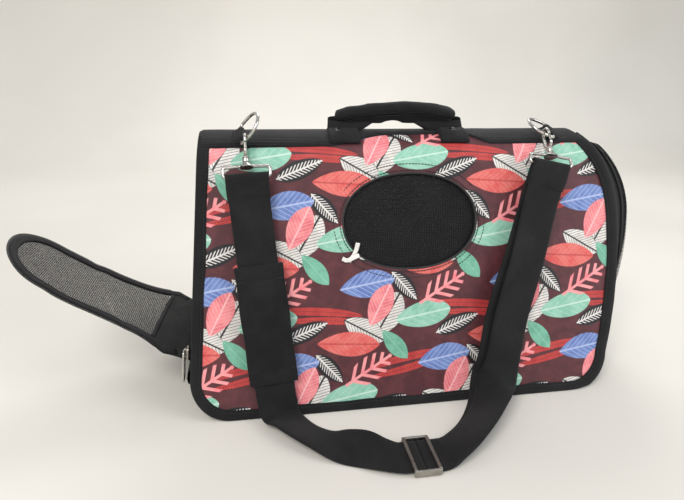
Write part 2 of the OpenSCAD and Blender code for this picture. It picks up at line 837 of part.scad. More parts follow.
// The returning layer lies behind the front layer and a little to its left
return_route = [
    [[-12, -177, 2.2], [0, 1, 0]],
    [[4, -177, 2.2], [0, 1, 0]],
    [[13, -174.5, 3.6], [-0.15, 0.98, -0.12]],
    [[26, -167.5, 7.2], [-0.35, 0.88, -0.3]],
    [[41.5, -156, 10.1], [-0.5, 0.74, -0.42]],
    [[56, -141.5, 12.3], [-0.65, 0.58, -0.44]],
    [[68, -126.5, 15.7], [-0.78, 0.4, -0.38]],
    [[77, -112.5, 22], [-0.88, 0.22, -0.2]],
    [[82.5, -101.5, 33.5], [-0.95, 0.08, 0.1]],
    [[87.5, -97.3, 50], [-0.96, 0.02, 0.25]],
    [[95.5, -87.2, 92], [-0.96, 0, 0.28]],
    [[113.5, -73.4, 142], [-0.96, 0, 0.28]],
    [[129.5, -60, 190], [-0.97, 0.02, 0.25]],
    [[141.6, -51.4, 228], [-0.975, 0.05, 0.2]]];

module strap_left() { color(black_cloth) flat_sweep(left_route, strap_w, strap_t); }
module strap_right_front() { color(black_cloth) flat_sweep(right_route, strap_w, strap_t); }
module strap_right_back() { color(black_cloth) flat_sweep(return_route, strap_w, strap_t); }

// ---- shoulder pad, a sleeve on the straight left leg ----
pad_low = 36;
pad_slot = 1.2;
leg_top = left_route[0][0];
leg_foot = left_route[3][0];
leg_dir = unit(leg_top - leg_foot);
leg_side = unit([1, 0, 0.09] - ([1, 0, 0.09] * leg_dir) * leg_dir);
leg_out = cross(leg_side, leg_dir);

// Frame of the left leg at height z: x across the strap, y up along it, z off the panel
module on_leg(z) {
    p = leg_foot + leg_dir * (z - leg_foot[2]) / leg_dir[2];
    multmatrix([
        [leg_side[0], leg_dir[0], leg_out[0], p[0]],
        [leg_side[1], leg_dir[1], leg_out[1], p[1]],
        [leg_side[2], leg_dir[2], leg_out[2], p[2]],
        [0, 0, 0, 1]]) children();
}

module shoulder_pad() {
    color(black_cloth) on_leg(pad_low) difference() {
        translate([-pad_w / 2, 0, -pad_t / 2]) cube([pad_w, pad_len, pad_t]);
        translate([-strap_w / 2 - 0.8, -1, -strap_t / 2 - pad_slot / 2])
            cube([strap_w + 1.6, pad_len + 2, strap_t + pad_slot]);
    }
}

// ---- adjuster at the strap's lowest stretch ----
adj = [-13, -177, 4.2];
adj_len = 24;
adj_half = 22;
adj_rail = 2.2;
adj_bar = 2.6;
adj_low = 0.5;
adj_high = 8;

module adjuster_frame() {
    color(steel) translate([adj[0], adj[1], 0]) {
        for (s = [-1, 1]) {
            translate([-adj_len / 2, s * (adj_half - adj_rail / 2) - adj_rail / 2, adj_low])
                cube([adj_len, adj_rail, adj_high - adj_low]);
            translate([s * (adj_len - adj_bar) / 2 - adj_bar / 2, -adj_half, adj_high - 2.4])
                cube([adj_bar, 2 * adj_half, 2.4]);
        }
    }
}

module adjuster_bar() {
    color(steel) translate([adj[0] - 5, adj[1], 0])
        translate([0, adj_half - adj_rail, 1.7]) rotate([90, 0, 0])
            cylinder(r = 0.9, h = 2 * (adj_half - adj_rail), $fn = small);
}

front_panel();
back_panel();
ridge_webbing();
front_binding();
back_binding();
front_window_mesh();
back_window_mesh();
floor_panel();
base_board();
floor_mat();
door_sill();
left_zip_tape();
left_zip_chain();
right_end_panel();
right_end_zip();
ring_tab_left();
ring_tab_right();
d_ring_left();
d_ring_right();
handle_end_left();
handle_end_right();
handle_rivets();
window_tag();
handle_roll();
handle_flap();
door_border();
door_mesh();
door_base_flap();
door_zip_chain();
zip_slider();
zip_pull();
hook_left();
hook_right();
strap_loop_left();
strap_loop_right();
strap_left();
strap_right_front();
strap_right_back();
hook_gate_left();
hook_gate_right();
shoulder_pad();
adjuster_frame();
adjuster_bar();
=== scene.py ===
"""Looks for the pet carrier bag: every piece is built here in code, over the CAD frame."""

import json
import math

import bmesh
import bpy
import numpy as np
from mathutils import Matrix, Vector, geometry, noise
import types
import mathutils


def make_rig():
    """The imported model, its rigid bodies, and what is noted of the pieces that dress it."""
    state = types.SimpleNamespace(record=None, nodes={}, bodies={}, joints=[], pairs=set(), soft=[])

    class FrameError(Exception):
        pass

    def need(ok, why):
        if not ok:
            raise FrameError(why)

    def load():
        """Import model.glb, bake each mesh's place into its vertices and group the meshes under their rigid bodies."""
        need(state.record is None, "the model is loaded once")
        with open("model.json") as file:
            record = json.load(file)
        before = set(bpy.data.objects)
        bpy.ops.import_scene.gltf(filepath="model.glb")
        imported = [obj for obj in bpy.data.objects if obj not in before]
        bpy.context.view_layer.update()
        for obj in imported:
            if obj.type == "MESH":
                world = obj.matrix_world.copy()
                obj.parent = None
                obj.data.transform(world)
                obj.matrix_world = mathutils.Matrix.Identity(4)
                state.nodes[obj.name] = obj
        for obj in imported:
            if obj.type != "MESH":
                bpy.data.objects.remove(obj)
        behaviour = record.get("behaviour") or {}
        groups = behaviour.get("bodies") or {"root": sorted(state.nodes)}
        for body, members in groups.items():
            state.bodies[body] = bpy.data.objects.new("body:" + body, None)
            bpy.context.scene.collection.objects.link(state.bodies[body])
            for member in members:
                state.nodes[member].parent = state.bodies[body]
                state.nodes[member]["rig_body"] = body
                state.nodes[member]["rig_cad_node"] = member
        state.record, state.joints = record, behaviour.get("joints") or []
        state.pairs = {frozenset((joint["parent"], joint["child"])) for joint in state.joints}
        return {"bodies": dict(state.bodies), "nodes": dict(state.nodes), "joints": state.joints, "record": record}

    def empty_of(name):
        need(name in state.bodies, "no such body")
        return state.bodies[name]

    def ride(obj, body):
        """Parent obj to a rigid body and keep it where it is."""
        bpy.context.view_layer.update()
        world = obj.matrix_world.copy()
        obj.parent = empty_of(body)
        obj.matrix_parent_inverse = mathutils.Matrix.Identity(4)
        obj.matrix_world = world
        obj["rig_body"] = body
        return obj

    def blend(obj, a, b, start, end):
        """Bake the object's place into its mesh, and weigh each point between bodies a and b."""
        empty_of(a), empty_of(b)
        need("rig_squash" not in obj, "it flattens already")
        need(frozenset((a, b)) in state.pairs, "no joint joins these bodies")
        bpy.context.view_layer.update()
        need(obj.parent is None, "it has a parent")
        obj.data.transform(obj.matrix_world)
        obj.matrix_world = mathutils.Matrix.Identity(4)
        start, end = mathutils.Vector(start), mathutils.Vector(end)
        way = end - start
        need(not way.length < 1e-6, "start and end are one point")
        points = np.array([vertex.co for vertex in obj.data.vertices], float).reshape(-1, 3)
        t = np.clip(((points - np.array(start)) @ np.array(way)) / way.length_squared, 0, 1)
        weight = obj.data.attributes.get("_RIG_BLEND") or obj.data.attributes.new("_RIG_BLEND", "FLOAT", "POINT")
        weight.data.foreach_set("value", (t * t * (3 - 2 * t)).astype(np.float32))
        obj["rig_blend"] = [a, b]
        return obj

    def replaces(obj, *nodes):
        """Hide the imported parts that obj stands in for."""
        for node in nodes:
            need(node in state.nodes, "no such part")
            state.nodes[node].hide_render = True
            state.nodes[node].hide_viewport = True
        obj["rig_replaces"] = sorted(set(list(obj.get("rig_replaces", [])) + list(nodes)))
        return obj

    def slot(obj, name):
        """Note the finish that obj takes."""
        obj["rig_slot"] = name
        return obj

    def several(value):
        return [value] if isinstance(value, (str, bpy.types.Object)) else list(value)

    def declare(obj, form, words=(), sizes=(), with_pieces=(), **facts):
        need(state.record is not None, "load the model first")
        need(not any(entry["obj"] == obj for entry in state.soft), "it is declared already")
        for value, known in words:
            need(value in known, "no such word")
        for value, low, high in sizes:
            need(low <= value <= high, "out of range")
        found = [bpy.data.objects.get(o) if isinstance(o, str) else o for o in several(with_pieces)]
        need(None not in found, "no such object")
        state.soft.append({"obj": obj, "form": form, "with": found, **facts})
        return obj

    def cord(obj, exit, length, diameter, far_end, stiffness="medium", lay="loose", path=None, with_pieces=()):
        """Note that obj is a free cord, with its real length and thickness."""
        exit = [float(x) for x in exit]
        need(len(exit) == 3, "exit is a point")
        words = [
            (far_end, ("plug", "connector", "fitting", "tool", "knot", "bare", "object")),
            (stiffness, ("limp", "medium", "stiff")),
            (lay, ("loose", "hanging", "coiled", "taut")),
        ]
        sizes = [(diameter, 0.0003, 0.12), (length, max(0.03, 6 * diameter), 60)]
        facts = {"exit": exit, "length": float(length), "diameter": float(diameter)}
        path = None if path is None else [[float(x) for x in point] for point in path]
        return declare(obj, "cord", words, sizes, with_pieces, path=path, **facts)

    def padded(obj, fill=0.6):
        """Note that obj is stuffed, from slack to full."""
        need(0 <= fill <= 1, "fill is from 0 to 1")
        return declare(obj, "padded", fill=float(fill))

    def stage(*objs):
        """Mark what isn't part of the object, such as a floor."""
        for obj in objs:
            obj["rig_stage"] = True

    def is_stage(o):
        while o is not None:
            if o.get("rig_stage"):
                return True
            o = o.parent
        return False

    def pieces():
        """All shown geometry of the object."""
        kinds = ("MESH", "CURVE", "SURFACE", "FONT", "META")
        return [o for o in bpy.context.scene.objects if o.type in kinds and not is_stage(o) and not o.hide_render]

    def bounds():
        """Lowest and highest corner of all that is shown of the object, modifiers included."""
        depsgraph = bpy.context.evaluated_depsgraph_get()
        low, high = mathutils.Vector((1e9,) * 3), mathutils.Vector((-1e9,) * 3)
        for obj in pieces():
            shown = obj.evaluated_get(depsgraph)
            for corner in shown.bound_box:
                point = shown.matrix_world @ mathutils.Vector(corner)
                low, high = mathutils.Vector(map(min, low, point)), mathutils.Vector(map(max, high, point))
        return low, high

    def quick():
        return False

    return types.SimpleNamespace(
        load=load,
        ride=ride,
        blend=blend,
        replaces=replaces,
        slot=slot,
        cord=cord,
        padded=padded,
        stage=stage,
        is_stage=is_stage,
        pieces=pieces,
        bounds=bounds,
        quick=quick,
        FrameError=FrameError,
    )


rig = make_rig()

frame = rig.load()
cad_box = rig.bounds()
MM = 0.001


# ------------------------------------------------------------------ small helpers
def squared(v, k):
    """v with its size raised to the power k: below 1 it squares off the round of a loop."""
    return math.copysign(abs(v) ** k, v)


def part_of(x, a, b):
    """How far x has gone from a to b, held between 0 and 1."""
    return min(1.0, max(0.0, (x - a) / (b - a)))


def smooth_part(x, a, b):
    t = part_of(x, a, b)
    return t * t * (3 - 2 * t)


def unit(v):
    return np.array(v, float) / np.linalg.norm(v)


def turns(n):
    """n angles once round."""
    return [2 * math.pi * j / n for j in range(n)]


def at(m, p):
    return tuple(m @ Vector(p))


def heading(m, v):
    """Direction v of the frame m, in the bag's frame."""
    return tuple(np.array(at(m, v)) - np.array(at(m, (0, 0, 0))))


# ------------------------------------------------------------------ camera
cam_data = bpy.data.cameras.new("camera")
cam_data.sensor_width = 36
cam_data.lens = 28.052632
cam = bpy.data.objects.new("camera", cam_data)
bpy.context.scene.collection.objects.link(cam)
yaw, pitch, roll = math.radians(9.9), math.radians(20), math.radians(1.0)
cam.matrix_world = (
    Matrix.Translation((-0.150, -0.538, 0.333))
    @ Matrix.Rotation(-yaw, 4, "Z")
    @ Matrix.Rotation(math.pi / 2 - pitch, 4, "X")
    @ Matrix.Rotation(roll, 4, "Z")
)
bpy.context.scene.camera = cam
bpy.context.scene.view_settings.view_transform = "Standard"

# ------------------------------------------------------------------ shape of the bag, in mm
B, H, R, T = 100.0, 262.0, 36.0, 4.0  # half depth, height, ridge radius, panel thickness
CORNER_R, CORNER_L, CORNER_X = 38.0, -177.0, 178.0  # lower corners: radius and centres
HINGE_Z = 50.0  # the door's hinge line above the floor
STRAP_W, STRAP_T = 38.0, 1.6
ZC = H - R
LEAN = math.atan2(B, ZC) - math.asin(R / math.hypot(B, ZC))
S0 = math.sqrt(B * B + ZC * ZC - R * R)
S_TOP = S0 + R * (math.pi / 2 - LEAN)
END_LEAN = math.atan2(18, H - CORNER_R)
CL, SL = math.cos(LEAN), math.sin(LEAN)


def shell(x, s, n):
    """Point of the bag's skin, n mm outward.

    s runs up the front from the floor, over the ridge and down the back.
    """
    back = s > S_TOP
    t = 2 * S_TOP - s if back else s
    if t <= S0:
        y, z = -B + t * SL - n * CL, t * CL + n * SL
    else:
        a = math.pi - LEAN - (t - S0) / R
        y, z = (R + n) * math.cos(a), ZC + (R + n) * math.sin(a)
    return (x, -y if back else y, z)


def s_of_z(z):
    """Way up the skin to height z."""
    if z <= S0 * CL:
        return z / CL
    return S0 + R * (math.pi - LEAN - (math.pi - math.asin(min(1, (z - ZC) / R))))


def side_y(d, z):
    """Half depth at height z on the flat panels, d mm inside the skin."""
    return B - d / CL - z * math.tan(LEAN)


def left_x(z):
    """Left edge of the side outline at height z; the open end leans in."""
    return CORNER_L - CORNER_R + (z - CORNER_R) * math.tan(END_LEAN)


def on_panel(side, x, s, n):
    """The same point on the front (side 1) or the back (side -1) of the bag."""
    q = shell(x, s, n)
    return (q[0], q[1] * side, q[2])


def bulge_circle(p, q, s):
    """Centre and radius of the arc through p and q that stands s proud of the line between them."""
    h = math.dist(p, q) / 2
    r = (h * h + s * s) / (2 * s)
    u = ((q[0] - p[0]) / (2 * h), (q[1] - p[1]) / (2 * h))
    return ((p[0] + q[0]) / 2 - (r - s) * u[1], (p[1] + q[1]) / 2 + (r - s) * u[0]), r


LOW, MID = (CORNER_X + CORNER_R, CORNER_R), (228.0, 170.0)
LOW_C, LOW_R = bulge_circle(LOW, MID, 5.0)
SHO_C, SHO_R = (MID[0] - 130.0, MID[1]), 130.0


def right_x(z):
    """Right edge of the side outline at height z."""
    if z < MID[1]:
        return LOW_C[0] + math.sqrt(LOW_R**2 - (z - LOW_C[1]) ** 2)
    return SHO_C[0] + math.sqrt(max(0, SHO_R**2 - (z - SHO_C[1]) ** 2))


def arc(c, r, a0, a1, n):
    return [(c[0] + r * math.cos(math.radians(a0 + (a1 - a0) * i / n)),
             c[1] + r * math.sin(math.radians(a0 + (a1 - a0) * i / n))) for i in range(n + 1)]


def base_corners(r, n):
    """The two lower corners of the side outline, from the left end to the right end."""
    left, right = (CORNER_L, CORNER_R), (CORNER_X, CORNER_R)
    return arc(left, r, 180, 270, n) + arc(right, r, 270, 360, n)


def outline(d, top):
    """The side outline in X and Z, from the top left, down, along the base and up to the top right."""
    pts = [(left_x(top) + d, top), (left_x(150) + d, 150.0)]
    pts += base_corners(CORNER_R - d, 12)
    pts += [(right_x(z) - d, z) for z in (60, 90, 120, 150, 170)]
    z = 178.0
    while z < top:
        pts.append((right_x(z) - d, z))
        z += 7
    pts.append((right_x(top) - d, top))
    return pts


def resample(pts, step, closed=False):
    """The same line with its points evenly laid, about step mm apart."""
    p = [np.array(q, float) for q in pts] + ([np.array(pts[0], float)] if closed else [])
    seg = [np.linalg.norm(b - a) for a, b in zip(p, p[1:])]
    cum = np.concatenate([[0], np.cumsum(seg)])
    n = max(2, int(round(cum[-1] / step)))
    out = []
    for i in range(n + (0 if closed else 1)):
        d = cum[-1] * i / n
        k = min(len(seg) - 1, max(0, int(np.searchsorted(cum, d, "right")) - 1))
        f = (d - cum[k]) / max(1e-9, seg[k])
        out.append(p[k] * (1 - f) + p[k + 1] * f)
    return out


def spline(pts, per=6):
    """Smooth line through points (Catmull-Rom, centripetal enough for evenly laid stations)."""
    p = [np.array(q, float) for q in pts]
    p = [2 * p[0] - p[1]] + p + [2 * p[-1] - p[-2]]
    out = []
    for i in range(1, len(p) - 2):
        for k in range(per):
            t = k / per
            a, b, c, d = p[i - 1], p[i], p[i + 1], p[i + 2]
            out.append(0.5 * ((2 * b) + (c - a) * t + (2 * a - 5 * b + 4 * c - d) * t * t
                    + (3 * b - a - 3 * c + d) * t**3))
    out.append(p[-2])
    return out


def fuzz(x, y, z, size, seed=0.0):
    """Smooth noise between about -1 and 1, its bumps size mm wide."""
    return noise.noise(Vector((x / size + seed, y / size - seed, z / size + 2 * seed)))


# ------------------------------------------------------------------ meshes
def make(name, verts, faces, mats, uvs=None, ids=None, smooth=True, sharp=None):
    """A mesh object from points in mm. uvs holds one (u, v) per vertex in metres."""
    me = bpy.data.meshes.new(name)
    me.from_pydata([tuple(c * MM for c in v) for v in verts], [], [tuple(f) for f in faces])
    for m in mats if isinstance(mats, (list, tuple)) else [mats]:
        me.materials.append(m)
    if ids is not None:
        me.polygons.foreach_set("material_index", ids)
    if uvs is not None:
        layer = me.uv_layers.new(name="Cloth")
        idx = np.empty(len(me.loops), np.int32)
        me.loops.foreach_get("vertex_index", idx)
        layer.data.foreach_set("uv", np.array(uvs, np.float32)[idx].ravel())
    me.polygons.foreach_set("use_smooth", [smooth] * len(me.polygons))
    if sharp:
        me.set_sharp_from_angle(angle=math.radians(sharp))
    me.update()
    ob = bpy.data.objects.new(name, me)
    bpy.context.scene.collection.objects.link(ob)
    return ob


def fix_normals(ob):
    bm = bmesh.new()
    bm.from_mesh(ob.data)
    bmesh.ops.recalc_face_normals(bm, faces=bm.faces)
    bm.to_mesh(ob.data)
    bm.free()
    return ob


def inside(poly, x, y):
    """Whether a point lies inside a polygon."""
    hit = False
    j = len(poly) - 1
    for i in range(len(poly)):
        (xi, yi), (xj, yj) = poly[i], poly[j]
        if (yi > y) != (yj > y) and x < (xj - xi) * (y - yi) / (yj - yi) + xi:
            hit = not hit
        j = i
    return hit


def skin(name, outer, holes, step, place, thick, mats, uv=None):
    """A thin cut piece: a flat pattern with holes, laid on a surface by place(a, b, n), thick mm deep."""
    loops = [resample([tuple(p) for p in outer], step, True)] + [resample(h, step * 0.6, True)
        for h in holes]
    co, edges = [], []
    for lp in loops:
        k = len(co)
        co += [Vector((p[0], p[1])) for p in lp]
        edges += [(k + i, k + (i + 1) % len(lp)) for i in range(len(lp))]
    polys = [[(p[0], p[1]) for p in lp] for lp in loops]
    xs, ys = [p[0] for p in polys[0]], [p[1] for p in polys[0]]
    nx, ny = int((max(xs) - min(xs)) / step), int((max(ys) - min(ys)) / step)
    edge_pts = np.array([[p[0], p[1]] for lp in loops for p in lp])
    for i in range(nx + 1):
        for j in range(ny + 1):
            x = min(xs) + (i + 0.5 * (j % 2)) * step
            y = min(ys) + j * step
            if inside(polys[0], x, y) and not any(inside(h, x, y) for h in polys[1:]):
                if np.min(np.abs(edge_pts[:, 0] - x) + np.abs(edge_pts[:, 1] - y)) > step * 0.5:
                    co.append(Vector((x, y)))
    vs, _, fs, *_ = geometry.delaunay_2d_cdt(co, edges, [], 0, 1e-5)
    tris = []
    for f in fs:
        cx, cy = sum(vs[i][0] for i in f) / len(f), sum(vs[i][1] for i in f) / len(f)
        if inside(polys[0], cx, cy) and not any(inside(h, cx, cy) for h in polys[1:]):
            tris.append(f)
    n = len(vs)
    verts = [place(v[0], v[1], 0.0) for v in vs] + [place(v[0], v[1], -thick) for v in vs]
    uvs = [(v[0] * MM, v[1] * MM) if uv is None else uv(v[0], v[1]) for v in vs] * 2
    faces = [list(t) for t in tris] + [[t[0] + n, t[2] + n, t[1] + n] for t in tris]
    ids = [0] * len(tris) + [1] * len(tris)
    seen = {}
    for t in tris:
        for a, b in ((t[0], t[1]), (t[1], t[2]), (t[2], t[0])):
            if (b, a) in seen:
                del seen[(b, a)]
            else:
                seen[(a, b)] = True
    for a, b in seen:
        faces.append([b, a, a + n, b + n])
        ids.append(1)
    mats = mats if isinstance(mats, (list, tuple)) else [mats, mats]
    ob = make(name, verts, faces, mats, uvs, ids, True)
    fix_normals(ob)
    ob.data.set_sharp_from_angle(angle=math.radians(50))
    return ob


def grid(name, rows, mats, closed_u=False, closed_v=False, uvs=None, caps=False, smooth=True, sharp=None):
    """A surface through rows of points. u runs along the rows, v inside a row."""
    m, n = len(rows), len(rows[0])
    verts = [tuple(p) for r in rows for p in r]
    faces = []
    for i in range(m if closed_u else m - 1):
        for j in range(n if closed_v else n - 1):
            a, b = i * n + j, i * n + (j + 1) % n
            c, d = ((i + 1) % m) * n + (j + 1) % n, ((i + 1) % m) * n + j
            faces.append((a, b, c, d))
    if caps:
        faces.append(tuple(range(n - 1, -1, -1)))
        faces.append(tuple((m - 1) * n + j for j in range(n)))
    ob = make(name, verts, faces, mats, uvs, None, smooth)
    fix_normals(ob)
    if sharp:
        ob.data.set_sharp_from_angle(angle=math.radians(sharp))
    return ob


def frames(path, up):
    """Tangent, side and normal along a path; up is one vector or one per point."""
    p = [np.array(q, float) for q in path]
    out = []
    for i in range(len(p)):
        t = unit(p[min(i + 1, len(p) - 1)] - p[max(i - 1, 0)])
        u = np.array(up[i] if isinstance(up[0], (tuple, list, np.ndarray)) else up, float)
        n = unit(u - t * np.dot(u, t))
        out.append((p[i], t, np.cross(t, n), n))
    return out


def tube(name, path, r, mat, up=(0, 0, 1), sides=12, closed=False, squashed=1.0, radius=None):
    """A round wire along a path; radius(f) makes it taper, squashed flattens it along up."""
    rows, uvs, run = [], [], 0.0
    if closed:
        q = [path[-1]] + list(path) + [path[0]]
        fr = frames(q, up)[1:-1]
    else:
        fr = frames(path, up)
    for i, (c, t, s, n) in enumerate(fr):
        if i:
            run += float(np.linalg.norm(c - fr[i - 1][0]))
        k = radius(i / (len(fr) - 1)) if radius else r
        rows.append([c + s * k * math.cos(a) + n * k * squashed * math.sin(a) for a in turns(sides)])
        uvs += [(a * r * MM, run * MM) for a in turns(sides)]
    return grid(name, rows, mat, closed, True, uvs, not closed)


def band_rows(stations, w, t, across=8, wobble=0.0, seed=0.0):
    """Rows of a flat band with soft edges, through stations of (centre, side direction)."""
    cs = [np.array(c, float) for c, _ in stations]
    rows, uvs, run = [], [], 0.0
    # one side of the profile, its two edges drawn in
    prof = [(-w / 2 + w * i / across, t / 2) for i in range(across + 1)]
    prof = [(a if 0 < i < across else a * (1 - 0.35 * t / w * 2), b) for i, (a, b) in enumerate(prof)]
    loop = prof + [(w / 2, 0.0)] + [(a, -b) for a, b in reversed(prof)] + [(-w / 2, 0.0)]
    for i, (_, sd) in enumerate(stations):
        c = cs[i]
        tan = unit(cs[min(i + 1, len(cs) - 1)] - cs[max(i - 1, 0)])
        nor = unit(np.cross(tan, np.array(sd, float)))
        side = np.cross(nor, tan)
        if i:
            run += float(np.linalg.norm(c - cs[i - 1]))
        row = []
        for a, b in loop:
            k = wobble * fuzz(a, run, 0, 22, seed) if wobble else 0
            row.append(c + side * a + nor * (b + k))
            uvs.append((a * MM, run * MM))
        rows.append(row)
    return rows, uvs


def folded(line, profile, place, turn=1, seam=(0.0, 0.0)):
    """Tape folded along a flat line: rows, uvs and the line its stitches follow.

    profile(p, run) gives (inset, height) pairs and place(a, b, n) lays them. turn is 1 where the
    inside lies to the right of the line, -1 to the left. seam is the stitch line's way back from
    the first pair, and its height.
    """
    rows, uvs, sewn, run = [], [], [], 0.0
    for i, p in enumerate(line):
        t = unit(line[min(i + 1, len(line) - 1)] - line[max(0, i - 1)])
        inward = np.array([t[1], -t[0]]) * turn
        if i:
            run += float(np.linalg.norm(p - line[i - 1]))
        pairs = profile(p, run)
        rows.append([place(*(p + inward * d), n) for d, n in pairs])
        uvs += [(d * MM, run * MM) for d, _ in pairs]
        sewn.append(place(*(p + inward * (pairs[0][0] - seam[0])), seam[1]))
    return rows, uvs, sewn


def band(name, stations, w, t, mat, per=6, **kw):
    """A flat band through given stations; returns it with its centre line."""
    cs = spline([c for c, _ in stations], per)
    ss = spline([s for _, s in stations], per)
    rows, uvs = band_rows(list(zip(cs, ss)), w, t, **kw)
    return grid(name, rows, mat, False, True, uvs, True), cs


def stitches(name, path, normals, mat, pitch=3.2, length=2.3, r=0.28, lift=0.1):
    """Thread stitches along a path, each a small tapered bead sunk at its ends."""
    pts = resample(path, pitch)
    nor = resample(normals, pitch) if len(normals) == len(path) else None
    verts, faces = [], []
    for i in range(len(pts) - 1):
        a, b = pts[i], pts[i + 1]
        if np.linalg.norm(b - a) < 1e-6:
            continue
        t = unit(b - a)
        k = min(len(nor) - 1, i) if nor is not None else 0
        n = nor[k] if nor is not None else np.array(normals[0], float)
        n = unit(n - t * np.dot(n, t))
        s = np.cross(t, n)
        m = (a + b) / 2
        base = len(verts)
        for d, h, q in ((-0.5, -0.25, 0.45), (-0.3, lift, 1.0), (0.3, lift, 1.0), (0.5, -0.25, 0.45)):
            for j in range(5):
                w = 2 * math.pi * j / 5
                verts.append(m + t * length * d + n * h + (s * math.cos(w) + n * math.sin(w)) * r * q)
        for u in range(3):
            for j in range(5):
                p0, p1 = base + u * 5 + j, base + u * 5 + (j + 1) % 5
                faces.append((p0, p1, p1 + 5, p0 + 5))
        faces.append(tuple(base + j for j in range(4, -1, -1)))
        faces.append(tuple(base + 15 + j for j in range(5)))
    return make(name, verts, faces, mat)


def puff(ob, wrap, voxel, cap):
    """Blows a padded piece up as cloth, holding every point within cap mm of where it was cut."""
    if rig.quick():
        return ob
    for o in bpy.context.scene.objects:
        o.select_set(False)
    ob.select_set(True)
    bpy.context.view_layer.objects.active = ob
    m = ob.modifiers.new("remesh", "REMESH")
    m.mode, m.voxel_size, m.use_smooth_shade = "VOXEL", voxel, True
    bpy.ops.object.modifier_apply(modifier=m.name)
    start = [v.co.copy() for v in ob.data.vertices]
    c = ob.modifiers.new("cloth", "CLOTH")
    c.settings.quality = 5
    c.settings.mass = 0.2
    c.settings.use_pressure = True
    c.settings.uniform_pressure_force = 4.0
    c.settings.tension_stiffness = c.settings.compression_stiffness = 12
    c.settings.bending_stiffness = 0.4
    c.settings.effector_weights.gravity = 0
    last = 20  # frames, by then the cloth is at rest
    c.point_cache.frame_start, c.point_cache.frame_end = 1, last
    for f in range(1, last + 1):
        bpy.context.scene.frame_set(f)
    bpy.ops.object.modifier_apply(modifier=c.name)
    bpy.context.scene.frame_set(1)
    for v, q in zip(ob.data.vertices, start):
        d = v.co - q
        if d.length > cap * MM:
            v.co = q + d * (cap * MM / d.length)
    sub = ob.modifiers.new("sub", "SUBSURF")
    sub.levels = sub.render_levels = 1
    bpy.ops.object.modifier_apply(modifier=sub.name)
    me = ob.data
    layer = me.uv_layers.get("Cloth") or me.uv_layers.new(name="Cloth")
    for f in me.polygons:
        for li in f.loop_indices:
            layer.data[li].uv = wrap(me.vertices[me.loops[li].vertex_index].co, f.center)
        f.use_smooth = True
    return ob


def join_parts(name, parts, mats):
    """One object from (verts, faces) parts in mm."""
    verts, faces = [], []
    for v, f in parts:
        k = len(verts)
        verts += [tuple(p) for p in v]
        faces += [[i + k for i in q] for q in f]
    return make(name, verts, faces, mats, None, None, True, 35)


def block(c, size, bevel):
    """Points and faces of a box with cut edges."""
    hx, hy, hz = (s / 2 for s in size)
    b = min(bevel, hx * 0.6, hy * 0.6, hz * 0.6)
    v = []
    for sx in (-1, 1):
        for sy in (-1, 1):
            for sz in (-1, 1):
                v.append((sx * (hx - b), sy * (hy - b), sz * hz))
                v.append((sx * (hx - b), sy * hy, sz * (hz - b)))
                v.append((sx * hx, sy * (hy - b), sz * (hz - b)))
    bm = bmesh.new()
    for p in v:
        bm.verts.new(p)
    bmesh.ops.convex_hull(bm, input=bm.verts)
    bm.verts.ensure_lookup_table()
    bm.verts.index_update()
    out = [np.array(p.co) + np.array(c, float) for p in bm.verts]
    fs = [[q.index for q in f.verts] for f in bm.faces]
    bm.free()
    return out, fs


# ------------------------------------------------------------------ shader expressions
class Val:
    """A socket that takes part in arithmetic."""

    def __init__(self, g, s):
        self.g, self.s = g, s

    def __add__(self, o):
        return self.g.math("ADD", self, o)

    def __sub__(self, o):
        return self.g.math("SUBTRACT", self, o)

    def __rsub__(self, o):
        return self.g.math("SUBTRACT", o, self)

    def __mul__(self, o):
        return self.g.math("MULTIPLY", self, o)

    def __truediv__(self, o):
        return self.g.math("DIVIDE", self, o)

    def __pow__(self, o):
        return self.g.math("POWER", self, o)

    def __abs__(self):
        return self.g.math("ABSOLUTE", self)

    __radd__, __rmul__ = __add__, __mul__


